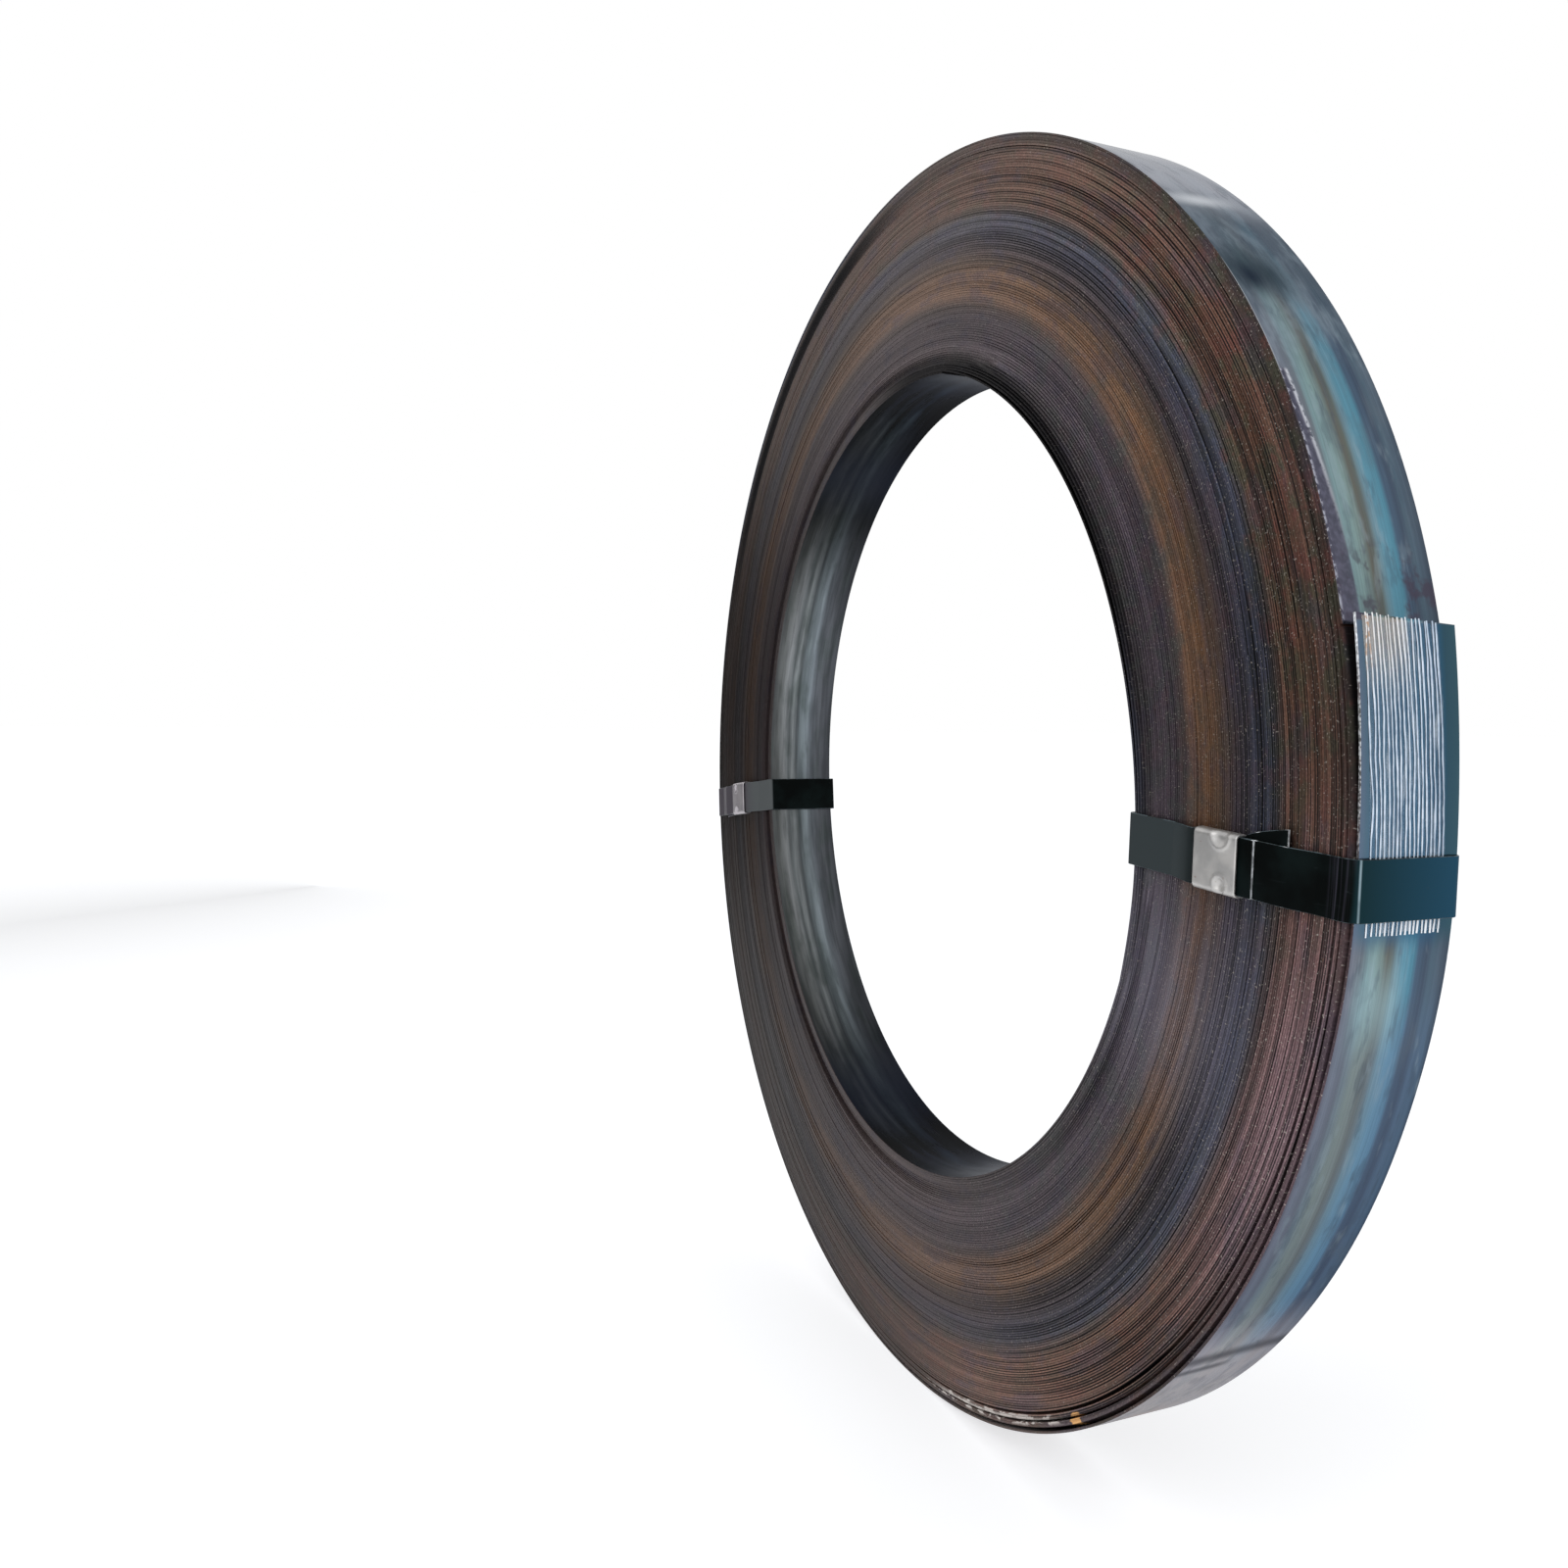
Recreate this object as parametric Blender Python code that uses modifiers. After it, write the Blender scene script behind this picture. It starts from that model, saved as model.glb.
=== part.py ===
"""Steel strapping coil: blued strap wound turn on turn into a flat ring that stands on its rim.

The strap's outer end springs off the ring, and its innermost turn hangs loose in the bore.
Two black binding straps tie the ring across its section, each through a crimped seal,
and a strip of filament tape lies along the outer end.

Everything is drawn in the coil's own frame and carried by one empty: X to the right, Y up
and Z along the coil's axis, out of its front end. Angles run anticlockwise from X.
"""

import math

import bmesh
import bpy

# Wound strap
STRAP_WIDTH = 0.032
STRAP_THICKNESS = 0.0008
BORE_DIAMETER = 0.305
TURN_COUNT = 102

# Ends of the coil: bundles of turns that shifted a little along the axis as they were wound
BUNDLE_COUNT = 9
BUNDLE_CROWDING = 1.5
BUNDLE_SHIFT = 0.0004
GROOVE_WIDTH = 0.0007
GROOVE_DEPTH = 0.0007

# Outer end of the strap, in degrees where an angle
TAIL_ANGLE = 10.6
TAIL_SPAN = 14.0
TAIL_LIFT = 0.0026
TAIL_SLANT = 0.0027
SETTLING_SPAN = 100.0

# Innermost turn, which starts near the top and hangs loose in the bore
INNER_START_ANGLE = 80.0
LOOSE_SPAN = 102.0
LOOSE_DEPTH = 0.0072
INNER_SHIFT = -0.0009
CLIMB_SPAN = 6.0
INNER_SEAM = 1.0

# Binding straps
BINDING_WIDTH = 0.0151
BINDING_THICKNESS = 0.0006
BINDING_BEND = 0.0015
LAYER_GAP = 0.00015
RAMP_LENGTH = 0.0095
RIGHT_BINDING_ANGLE = -3.6
RIGHT_BINDING_OFFSET = -0.0053
LEFT_BINDING_ANGLE = -173.8
LEFT_BINDING_OFFSET = 0.0016

# Seals, and the strap ends at them
SEAL_LENGTH = 0.0166
SEAL_THICKNESS = 0.0007
SEAL_BEND = 0.0009
SEAL_FLANGE = 0.0055
SEAL_FROM_BORE = 0.0375
NOTCH_RADIUS = 0.0021
NOTCH_BITE = 0.0018
NOTCH_OFFSET = 0.0023
FOLD_REACH = 0.0030
TOP_END_REACH = 0.0050
FOLDED_END_REACH = 0.0157
FOLDED_END_SKEW = 0.0040

# Filament tape on the outer end
TAPE_WIDTH = 0.025
TAPE_THICKNESS = 0.00025
TAPE_OFFSET = 0.0003
TAPE_BELOW_BINDING = 0.0030

# Fit and facets
CLEARANCE = 0.0003
EMBED = 0.0015
RING_STEPS = 90
BEND_STEPS = 4
CIRCLE = 360.0

COLLECTION_NAME = "steel_strapping_coil"

BORE_RADIUS = BORE_DIAMETER / 2
OUTER_RADIUS = BORE_RADIUS + TURN_COUNT * STRAP_THICKNESS
RING_INNER = BORE_RADIUS + STRAP_THICKNESS
RING_OUTER = OUTER_RADIUS - STRAP_THICKNESS
SEAL_RADIUS = BORE_RADIUS + SEAL_FROM_BORE
STEP_ANGLE = CIRCLE / RING_STEPS


def polar(radius, degrees):
    """The point of the coil's frame at a radius and an angle."""
    turn = math.radians(degrees)
    return radius * math.cos(turn), radius * math.sin(turn)


def ease(share):
    """Runs smoothly from 0 to 1."""
    share = min(max(share, 0.0), 1.0)
    return share * share * (3 - 2 * share)


# The coil's own lines


def outer_turn_radius(travel):
    """Outer face of the last turn, by the degrees travelled clockwise from the strap's end."""
    lift = TAIL_LIFT * max(0.0, 1 - travel / TAIL_SPAN) ** 2
    settled = ease((travel - CIRCLE + SETTLING_SPAN) / SETTLING_SPAN)
    return OUTER_RADIUS + lift - settled * (STRAP_THICKNESS + CLEARANCE)


def tail_reach(height):
    """How far the strap's end, cut askew, runs on past its angle at a height along the axis."""
    return TAIL_SLANT * (height / STRAP_WIDTH + 0.5)


def loose_depth(travel):
    """How far the innermost turn hangs into the bore, by the degrees run from its start."""
    share = (travel - CIRCLE + LOOSE_SPAN) / LOOSE_SPAN
    return LOOSE_DEPTH * math.sin(math.pi * share) if 0 < share < 1 else 0.0


def inner_turn_radius(travel):
    """Inner face of the first turn, which climbs behind its own start at the end of its round."""
    climb = ease((travel - CIRCLE + CLIMB_SPAN) / CLIMB_SPAN)
    return BORE_RADIUS - loose_depth(travel) + climb * (STRAP_THICKNESS + CLEARANCE)


def bundle_edges():
    """Radii between the bundles of turns, which get thinner towards the rim."""
    depth = RING_OUTER - RING_INNER
    crowding = [(1 - k / BUNDLE_COUNT) ** BUNDLE_CROWDING for k in range(BUNDLE_COUNT + 1)]
    return [RING_OUTER - depth * share for share in crowding]


def bundle_shift(index):
    """How far a bundle stands out at the front end, and back at the other."""
    return BUNDLE_SHIFT * math.sin(1.9 * index + 1.2)


FRONT_REACH = STRAP_WIDTH / 2 + max(bundle_shift(k) for k in range(BUNDLE_COUNT))
BACK_REACH = STRAP_WIDTH / 2 + max(-INNER_SHIFT, *(-bundle_shift(k) for k in range(BUNDLE_COUNT)))


def end_profile(side):
    """Radius and height along one end of the ring, from the bore out: side is 1 or -1."""
    edges = bundle_edges()
    points = []
    for k in range(BUNDLE_COUNT):
        height = side * STRAP_WIDTH / 2 + bundle_shift(k)
        inner = edges[k] + (GROOVE_WIDTH / 2 if k else 0.0)
        outer = edges[k + 1] - (GROOVE_WIDTH / 2 if k < BUNDLE_COUNT - 1 else 0.0)
        points += [(inner, height), (outer, height)]
        if k < BUNDLE_COUNT - 1:
            deeper = min(side * bundle_shift(k), side * bundle_shift(k + 1)) - GROOVE_DEPTH
            points.append((edges[k + 1], side * (STRAP_WIDTH / 2 + deeper)))
    return points


# Scene, materials and shared shapes


def clear_scene():
    for old in list(bpy.data.objects):
        bpy.data.objects.remove(old, do_unlink=True)


def collection(name):
    made = bpy.data.collections.new(name)
    bpy.context.scene.collection.children.link(made)
    return made


def material(name, colour, roughness, metallic):
    made = bpy.data.materials.new(name)
    made.use_nodes = True
    shader = made.node_tree.nodes["Principled BSDF"]
    shader.inputs["Base Color"].default_value = (*colour, 1.0)
    shader.inputs["Roughness"].default_value = roughness
    shader.inputs["Metallic"].default_value = metallic
    made.diffuse_color = (*colour, 1.0)
    return made


def mesh_object(name, mesh, home, parent, finish=None):
    made = bpy.data.objects.new(name, mesh)
    home.objects.link(made)
    made.parent = parent
    if finish:
        mesh.materials.append(finish)
    return made


def add_solidify(target, thickness):
    shell = target.modifiers.new("thickness", "SOLIDIFY")
    shell.thickness = thickness
    shell.offset = 0.0
    shell.use_even_offset = True


def add_boolean(target, other, operation):
    cut = target.modifiers.new(other.name, "BOOLEAN")
    cut.operation = operation
    cut.solver = "EXACT"
    cut.object = other


def as_cutter(tool):
    tool.hide_render = True
    tool.display_type = "WIRE"
    return tool


def rounded_path(corners):
    """A path through (across, height, bend radius) corners, each turned by an arc."""
    points = [corners[0][:2]]
    for before, corner, after in zip(corners, corners[1:], corners[2:]):
        here, bend = corner[:2], corner[2]
        arms = []
        for other in (before, after):
            length = math.dist(here, other[:2])
            arms.append(((other[0] - here[0]) / length, (other[1] - here[1]) / length))
        half = math.acos(max(-1.0, min(1.0, arms[0][0] * arms[1][0] + arms[0][1] * arms[1][1]))) / 2
        if bend <= 0.0 or half > math.radians(89.9):
            points.append(here)
            continue
        middle = [arms[0][i] + arms[1][i] for i in (0, 1)]
        scale = bend / math.sin(half) / math.hypot(*middle)
        centre = [here[i] + middle[i] * scale for i in (0, 1)]
        start, end = (
            math.atan2(
                here[1] + arm[1] * bend / math.tan(half) - centre[1],
                here[0] + arm[0] * bend / math.tan(half) - centre[0],
            )
            for arm in arms
        )
        sweep = (end - start + math.pi) % (2 * math.pi) - math.pi
        for step in range(BEND_STEPS + 1):
            angle = start + sweep * step / BEND_STEPS
            points.append((centre[0] + bend * math.cos(angle), centre[1] + bend * math.sin(angle)))
    points.append(corners[-1][:2])
    return points


def ribbon(name, path, width, thickness, home, parent, finish):
    """A strip that follows a path in the XZ plane, with its width along Y, made solid.

    A path point may carry a third number, the strip's sideways shift there.
    """
    sheet = bmesh.new()
    rows = []
    for point in path:
        shift = point[2] if len(point) > 2 else 0.0
        rows.append(
            [sheet.verts.new((point[0], shift + side * width / 2, point[1])) for side in (-1, 1)]
        )
    for row, following in zip(rows, rows[1:]):
        sheet.faces.new((row[0], following[0], following[1], row[1]))
    mesh = bpy.data.meshes.new(name)
    sheet.to_mesh(mesh)
    sheet.free()
    made = mesh_object(name, mesh, home, parent, finish)
    add_solidify(made, thickness)
    mesh.shade_smooth()
    mesh.set_sharp_from_angle(angle=math.radians(40))
    return made


def slab(name, outline, low, high, home, parent):
    """A flat outline in the XY plane filled from one height to another, as a welded mesh."""
    curve = bpy.data.curves.new(name, "CURVE")
    curve.dimensions = "2D"
    curve.fill_mode = "BOTH"
    curve.extrude = (high - low) / 2
    line = curve.splines.new("POLY")
    line.points.add(len(outline) - 1)
    for point, (x, y) in zip(line.points, outline):
        point.co = (x, y, 0.0, 1.0)
    line.use_cyclic_u = True
    drawn = bpy.data.objects.new(name + "_outline", curve)
    home.objects.link(drawn)
    drawn.parent = parent
    drawn.location.z = (low + high) / 2
    bpy.context.view_layer.update()
    graph = bpy.context.evaluated_depsgraph_get()
    mesh = bpy.data.meshes.new_from_object(drawn.evaluated_get(graph))
    weld = bmesh.new()
    weld.from_mesh(mesh)
    bmesh.ops.remove_doubles(weld, verts=weld.verts, dist=0.00001)
    bmesh.ops.recalc_face_normals(weld, faces=weld.faces)
    weld.to_mesh(mesh)
    weld.free()
    made = bpy.data.objects.new(name, mesh)
    home.objects.link(made)
    made.matrix_world = drawn.matrix_world
    bpy.data.objects.remove(drawn)
    return made


# The wound strap


def turned_ring(home, parent, finish):
    """All but the first and last turns, as one turned body with its bundles at both ends."""
    front = end_profile(1)
    back = end_profile(-1)
    profile = [front[-1], *reversed(back), *front[:-1]]
    outline = bmesh.new()
    corners = [outline.verts.new((radius, 0.0, height)) for radius, height in profile]
    for start, end in zip(corners, corners[1:] + corners[:1]):
        outline.edges.new((start, end))
    mesh = bpy.data.meshes.new("strap_coil")
    outline.to_mesh(mesh)
    outline.free()
    ring = mesh_object("strap_coil", mesh, home, parent, finish)
    screw = ring.modifiers.new("turned", "SCREW")
    screw.axis = "Z"
    screw.angle = 2 * math.pi
    screw.steps = screw.render_steps = RING_STEPS
    screw.use_merge_vertices = True
    screw.merge_threshold = 0.00001
    screw.use_smooth_shade = False
    return ring


def facet_travels(start_angle, direction, first, last):
    """Travels between first and last at which a turn crosses a corner of the ring's facets."""
    count = int(CIRCLE / STEP_ANGLE) + 2
    nearest = math.ceil(start_angle / STEP_ANGLE) if direction > 0 else math.floor(start_angle / STEP_ANGLE)
    travels = [direction * ((nearest + direction * k) * STEP_ANGLE - start_angle) for k in range(count)]
    margin = STEP_ANGLE / 8
    return [t for t in travels if first + margin < t < last - margin]


def outer_turn_outline():
    """The last turn, clockwise from its lifted end to where it dives under that end."""
    free = [TAIL_SPAN * k / 8 for k in range(8)]
    bedded = [TAIL_SPAN, *facet_travels(TAIL_ANGLE, -1, TAIL_SPAN, CIRCLE), CIRCLE]
    outside = [polar(outer_turn_radius(t), TAIL_ANGLE - t) for t in free + bedded]
    under_tail = [polar(outer_turn_radius(t) - STRAP_THICKNESS, TAIL_ANGLE - t) for t in free]
    in_ring = [polar(RING_OUTER - EMBED, TAIL_ANGLE - t) for t in bedded]
    return outside + list(reversed(under_tail + in_ring))


def inner_turn_outline():
    """The first turn, anticlockwise from its start, hanging off the ring over its loose part."""
    margin = 0.02 * LOOSE_SPAN
    loose_from = CIRCLE - LOOSE_SPAN + margin
    loose_to = CIRCLE - margin
    bedded = [0.0, *facet_travels(INNER_START_ANGLE, 1, 0.0, loose_from - margin)]
    hanging = [loose_from, *facet_travels(INNER_START_ANGLE, 1, loose_from, loose_to), loose_to]
    travels = bedded + [loose_from - margin] + hanging + [CIRCLE - INNER_SEAM]
    inside = [polar(inner_turn_radius(t), INNER_START_ANGLE + t) for t in travels]
    outside = []
    for travel in travels:
        free = loose_from <= travel <= loose_to
        radius = inner_turn_radius(travel) + STRAP_THICKNESS if free else RING_INNER + EMBED
        outside.append(polar(radius, INNER_START_ANGLE + travel))
    return inside + list(reversed(outside))


def draw_out_tail(turn):
    """Moves the corners of the strap's end to where its askew cut has them."""
    ends = []
    for inset in (0.0, STRAP_THICKNESS):
        end, before = (
            polar(outer_turn_radius(t) - inset, TAIL_ANGLE - t) for t in (0.0, TAIL_SPAN / 8)
        )
        ends.append((end, before, math.dist(end, before)))
    for vertex in turn.data.vertices:
        for end, before, length in ends:
            if math.dist(vertex.co.xy, end) < 0.00001:
                reach = tail_reach(vertex.co.z) / length
                vertex.co.x += (end[0] - before[0]) * reach
                vertex.co.y += (end[1] - before[1]) * reach
                break


def wound_strap(home, cutters, parent, finish):
    ring = turned_ring(home, parent, finish)
    half = STRAP_WIDTH / 2
    last = slab("outer_turn", outer_turn_outline(), -half, half, cutters, parent)
    draw_out_tail(last)
    first = slab(
        "inner_turn", inner_turn_outline(), INNER_SHIFT - half, INNER_SHIFT + half, cutters, parent
    )
    for turn in (last, first):
        add_boolean(ring, as_cutter(turn), "UNION")
    return ring


# Where a flat strap can lie on the round coil


def side_samples(offset):
    """Sideways places across a binding strap whose middle is at an offset from the axis."""
    return [offset + BINDING_WIDTH * (k / 8 - 0.5) for k in range(9)]


def outer_flat(offset, cover):
    """Distance from the axis of a flat laid on the rim, over a cover of some thickness."""
    return max(math.sqrt((OUTER_RADIUS + cover) ** 2 - y * y) for y in side_samples(offset))


def bore_flat(angle, offset):
    """Distance from the axis of a flat laid on the bore, where the first turn may hang loose."""
    reaches = []
    for y in side_samples(offset):
        local = angle + math.degrees(math.asin(y / BORE_RADIUS))
        travel = (local - INNER_START_ANGLE) % CIRCLE
        radius = inner_turn_radius(travel) * math.cos(math.pi / RING_STEPS)
        reaches.append(math.sqrt(radius * radius - y * y))
    return min(reaches)


# Binding straps and seals

LAYER_PITCH = BINDING_THICKNESS + LAYER_GAP
FACE_LINE = FRONT_REACH + CLEARANCE + BINDING_THICKNESS / 2
FOLDED_LINE = FRONT_REACH + 2 * CLEARANCE + SEAL_THICKNESS + BINDING_THICKNESS / 2
LOWER_LINE = FOLDED_LINE + LAYER_PITCH
UPPER_LINE = LOWER_LINE + LAYER_PITCH
BACK_LINE = -(BACK_REACH + CLEARANCE + BINDING_THICKNESS / 2)


def binding_path(outer_line, bore_line):
    """One strap, from its folded end under the seal, round the section, to its top end."""
    seal_start = SEAL_RADIUS - SEAL_LENGTH / 2
    seal_end = SEAL_RADIUS + SEAL_LENGTH / 2
    fold = seal_start - FOLD_REACH
    folded_end = seal_end + FOLDED_END_REACH
    upper_start = fold - BINDING_THICKNESS - CLEARANCE
    fold_bend = 0.48 * LAYER_PITCH
    body = rounded_path(
        [
            (seal_end, FOLDED_LINE),
            (fold, FOLDED_LINE, fold_bend),
            (fold, LOWER_LINE, fold_bend),
            (folded_end + CLEARANCE, LOWER_LINE, BINDING_BEND),
            (folded_end + RAMP_LENGTH, FACE_LINE, BINDING_BEND),
            (outer_line, FACE_LINE, BINDING_BEND),
            (outer_line, BACK_LINE, BINDING_BEND),
            (bore_line, BACK_LINE, BINDING_BEND),
            (bore_line, FACE_LINE, BINDING_BEND),
            (upper_start - RAMP_LENGTH, FACE_LINE, BINDING_BEND),
            (upper_start, UPPER_LINE, BINDING_BEND),
            (seal_end + TOP_END_REACH, UPPER_LINE),
        ]
    )
    skewed_end = [
        (
            seal_end + FOLDED_END_REACH * share,
            FOLDED_LINE,
            FOLDED_END_SKEW * share**0.6,
        )
        for share in (1.0, 0.75, 0.5, 0.25)
    ]
    return skewed_end + body


def binding_strap(name, angle, offset, cover, home, parent, finish):
    """A binding strap turned about the coil's axis to its angle, and set aside by its offset."""
    slack = CLEARANCE + BINDING_THICKNESS / 2
    path = binding_path(outer_flat(offset, cover) + slack, bore_flat(angle, offset) - slack)
    strap = ribbon(name, path, BINDING_WIDTH, BINDING_THICKNESS, home, parent, finish)
    place_beside_axis(strap, angle, 0.0, offset)
    return strap


def place_beside_axis(target, angle, along, aside):
    """Puts an object at a distance out along an angle and a distance aside from it."""
    turn = math.radians(angle)
    target.location.x = along * math.cos(turn) - aside * math.sin(turn)
    target.location.y = along * math.sin(turn) + aside * math.cos(turn)
    target.rotation_euler.z = turn


def seal(name, angle, offset, home, cutters, parent, finish):
    """A sleeve closed round the strap layers, open behind, with a notch crimped in each edge."""
    half_width = BINDING_WIDTH / 2 + CLEARANCE + SEAL_THICKNESS / 2
    slack = BINDING_THICKNESS / 2 + CLEARANCE + SEAL_THICKNESS / 2
    low = FOLDED_LINE - slack
    high = UPPER_LINE + slack
    section = rounded_path(
        [
            (half_width - SEAL_FLANGE, low),
            (half_width, low, SEAL_BEND),
            (half_width, high, SEAL_BEND),
            (-half_width, high, SEAL_BEND),
            (-half_width, low, SEAL_BEND),
            (SEAL_FLANGE - half_width, low),
        ]
    )
    sleeve = ribbon(name, section, SEAL_LENGTH, SEAL_THICKNESS, home, parent, finish)
    place_beside_axis(sleeve, angle, SEAL_RADIUS, offset)
    sleeve.rotation_euler.z += math.radians(90)
    edge = half_width + SEAL_THICKNESS / 2
    for side, word in ((1, "upper"), (-1, "lower")):
        bpy.ops.mesh.primitive_cylinder_add(
            vertices=16, radius=NOTCH_RADIUS, depth=2 * (high - low), location=(0.0, 0.0, 0.0)
        )
        notch = bpy.context.object
        notch.name = f"{name}_{word}_notch"
        for other in list(notch.users_collection):
            other.objects.unlink(notch)
        cutters.objects.link(notch)
        notch.parent = parent
        aside = offset + side * (edge + NOTCH_RADIUS - NOTCH_BITE)
        place_beside_axis(notch, angle, SEAL_RADIUS + NOTCH_OFFSET, aside)
        notch.location.z = (low + high) / 2
        add_boolean(sleeve, as_cutter(notch), "DIFFERENCE")
    return sleeve


# Filament tape


def filament_tape(home, parent, finish):
    """A strip along the strap's outer end that runs on under the right binding strap."""
    lower_edge = RIGHT_BINDING_OFFSET - BINDING_WIDTH / 2 - TAPE_BELOW_BINDING
    end_angle = RIGHT_BINDING_ANGLE + math.degrees(math.asin(lower_edge / OUTER_RADIUS))
    travel = TAIL_ANGLE - end_angle
    slack = CLEARANCE + TAPE_THICKNESS / 2
    steps = 16
    path = []
    for k in range(steps + 1):
        t = travel * k / steps
        path.append(polar(outer_turn_radius(t) + slack, TAIL_ANGLE - t))
    tape = ribbon("filament_tape", path, TAPE_WIDTH, TAPE_THICKNESS, home, parent, finish)
    length = math.dist(path[0], path[1])
    for corner, side in zip(tape.data.vertices[:2], (1, -1)):
        reach = tail_reach(TAPE_OFFSET + side * TAPE_WIDTH / 2) / length
        corner.co.x += (path[0][0] - path[1][0]) * reach
        corner.co.z += (path[0][1] - path[1][1]) * reach
    tape.rotation_euler.x = math.radians(-90)
    tape.location.z = TAPE_OFFSET
    return tape


def build():
    clear_scene()
    parts = collection(COLLECTION_NAME)
    cutters = collection("cutters")
    axis = bpy.data.objects.new("coil_axis", None)
    parts.objects.link(axis)
    axis.location.z = OUTER_RADIUS * math.cos(math.pi / RING_STEPS)
    axis.rotation_euler.x = math.radians(90)
    bpy.context.view_layer.update()

    blued = material("blued_steel", (0.085, 0.075, 0.075), 0.42, 0.75)
    black = material("black_binding_steel", (0.014, 0.017, 0.018), 0.32, 0.2)
    zinc = material("zinc_plated_steel", (0.48, 0.48, 0.47), 0.38, 0.85)
    tape = material("glass_filament_tape", (0.62, 0.68, 0.74), 0.45, 0.0)

    wound_strap(parts, cutters, axis, blued)
    filament_tape(parts, axis, tape)
    sides = (
        ("right", RIGHT_BINDING_ANGLE, RIGHT_BINDING_OFFSET, CLEARANCE + TAPE_THICKNESS),
        ("left", LEFT_BINDING_ANGLE, LEFT_BINDING_OFFSET, 0.0),
    )
    for side, angle, offset, cover in sides:
        binding_strap(f"binding_strap_{side}", angle, offset, cover, parts, axis, black)
        seal(f"seal_{side}", angle, offset, parts, cutters, axis, zinc)


build()
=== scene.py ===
import math

import bpy
import numpy as np
from mathutils import Matrix, Vector


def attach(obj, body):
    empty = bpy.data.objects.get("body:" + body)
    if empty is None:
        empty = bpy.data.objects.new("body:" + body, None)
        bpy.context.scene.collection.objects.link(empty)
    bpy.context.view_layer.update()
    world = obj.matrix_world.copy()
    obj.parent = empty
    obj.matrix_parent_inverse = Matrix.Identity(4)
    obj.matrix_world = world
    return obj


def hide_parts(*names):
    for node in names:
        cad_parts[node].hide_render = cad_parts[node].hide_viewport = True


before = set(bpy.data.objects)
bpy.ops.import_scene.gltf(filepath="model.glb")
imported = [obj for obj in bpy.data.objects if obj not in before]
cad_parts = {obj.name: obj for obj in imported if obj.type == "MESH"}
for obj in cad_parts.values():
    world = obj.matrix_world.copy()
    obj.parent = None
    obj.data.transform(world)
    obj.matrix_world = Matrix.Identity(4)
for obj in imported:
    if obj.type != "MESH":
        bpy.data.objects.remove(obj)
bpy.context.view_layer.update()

# lengths are in metres and angles in degrees, anticlockwise from +X as seen from the front
coil = {
    "height": 0.23396,  # of the axis over the floor
    "bore": 0.1525,
    "rim": 0.23396,
    "width": 0.032,
    "thickness": 0.00078,
    "rounds": 102,
    "endAngle": 10.6,
    "startAngle": 80.0,
    "segments": 300,
    "stepFrom": 88.0,  # between these two turns the winding changes from a spiral to steps
    "stepTo": 98.0,
    "stepShare": 0.07,  # of a round, in which a turn steps up
}


def ease(share):
    share = np.clip(share, 0.0, 1.0)
    return share * share * (3 - 2 * share)


def coilPoint(radius, degrees, depth):
    # depth runs back from the middle of the strap's width
    turn = np.radians(degrees)
    level = coil["height"] + radius * np.sin(turn)
    return np.stack(np.broadcast_arrays(radius * np.cos(turn), depth, level), -1)


class Wire:
    # one socket, so that plain sums on it add Math or Vector Math nodes
    def __init__(self, tree, socket, vector=False):
        self.tree = tree
        self.socket = socket
        self.vector = vector

    def node(self, kind, settings=None, values=None, output=0, vector=False):
        made = self.tree.nodes.new(kind)
        for name, setting in (settings or {}).items():
            setattr(made, name, setting)
        for name, value in (values or {}).items():
            if isinstance(value, Wire):
                self.tree.links.new(value.socket, made.inputs[name])
            else:
                made.inputs[name].default_value = value
        return Wire(self.tree, made.outputs[output], vector)

    def maths(self, operation, *others):
        values = {0: self, **{place + 1: other for place, other in enumerate(others)}}
        anyVector = self.vector or any(isinstance(o, Wire) and o.vector for o in others)
        if anyVector:
            values = {k: v if isinstance(v, Wire) else (v, v, v) for k, v in values.items()}
            return self.node("ShaderNodeVectorMath", {"operation": operation}, values, vector=True)
        return self.node("ShaderNodeMath", {"operation": operation}, values)

    def __add__(self, other):
        return self.maths("ADD", other)

    def __sub__(self, other):
        return self.maths("SUBTRACT", other)

    def __mul__(self, other):
        return self.maths("MULTIPLY", other)

    def __truediv__(self, other):
        return self.maths("DIVIDE", other)

    def __pow__(self, other):
        return self.maths("POWER", other)

    def __rsub__(self, other):
        return self.node("ShaderNodeMath", {"operation": "SUBTRACT"}, {0: other, 1: self})

    __radd__ = __add__
    __rmul__ = __mul__

    def larger(self, other):
        return self.maths("MAXIMUM", other)

    def between(self, low, high):
        # 0 below low, 1 above high, smooth from one to the other
        return self.node(
            "ShaderNodeMapRange",
            {"interpolation_type": "SMOOTHSTEP"},
            {"Value": self, "From Min": low, "From Max": high},
        )

    def bump(self, middle, reach):
        # 1 at the middle, falling smoothly to 0 at that reach on both sides
        away = (self - middle).maths("ABSOLUTE")
        return away.fade(0.0, reach)

    def fade(self, low, high):
        # 1 below low, 0 above high
        return 1 - self.between(low, high)

    def window(self, low, full, wane, high):
        # 1 from full to wane, falling smoothly to 0 at low and at high
        return self.between(low, full) * self.fade(wane, high)


def tint(code):
    # a colour as written in a picture editor, made linear
    parts = [int(code[k : k + 2], 16) / 255 for k in (0, 2, 4)]
    return tuple(p / 12.92 if p <= 0.04045 else ((p + 0.055) / 1.055) ** 2.4 for p in parts)


def mixed(mask, first, second):
    # the first colour where the mask is 0 and the second where it is 1; each a wire or a code
    lead = next(w for w in (mask, first, second) if isinstance(w, Wire))
    first, second = ((*tint(c), 1.0) if isinstance(c, str) else c for c in (first, second))
    values = {0: mask, 6: first, 7: second}
    return lead.node("ShaderNodeMix", {"data_type": "RGBA"}, values, output=2, vector=True)


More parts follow.
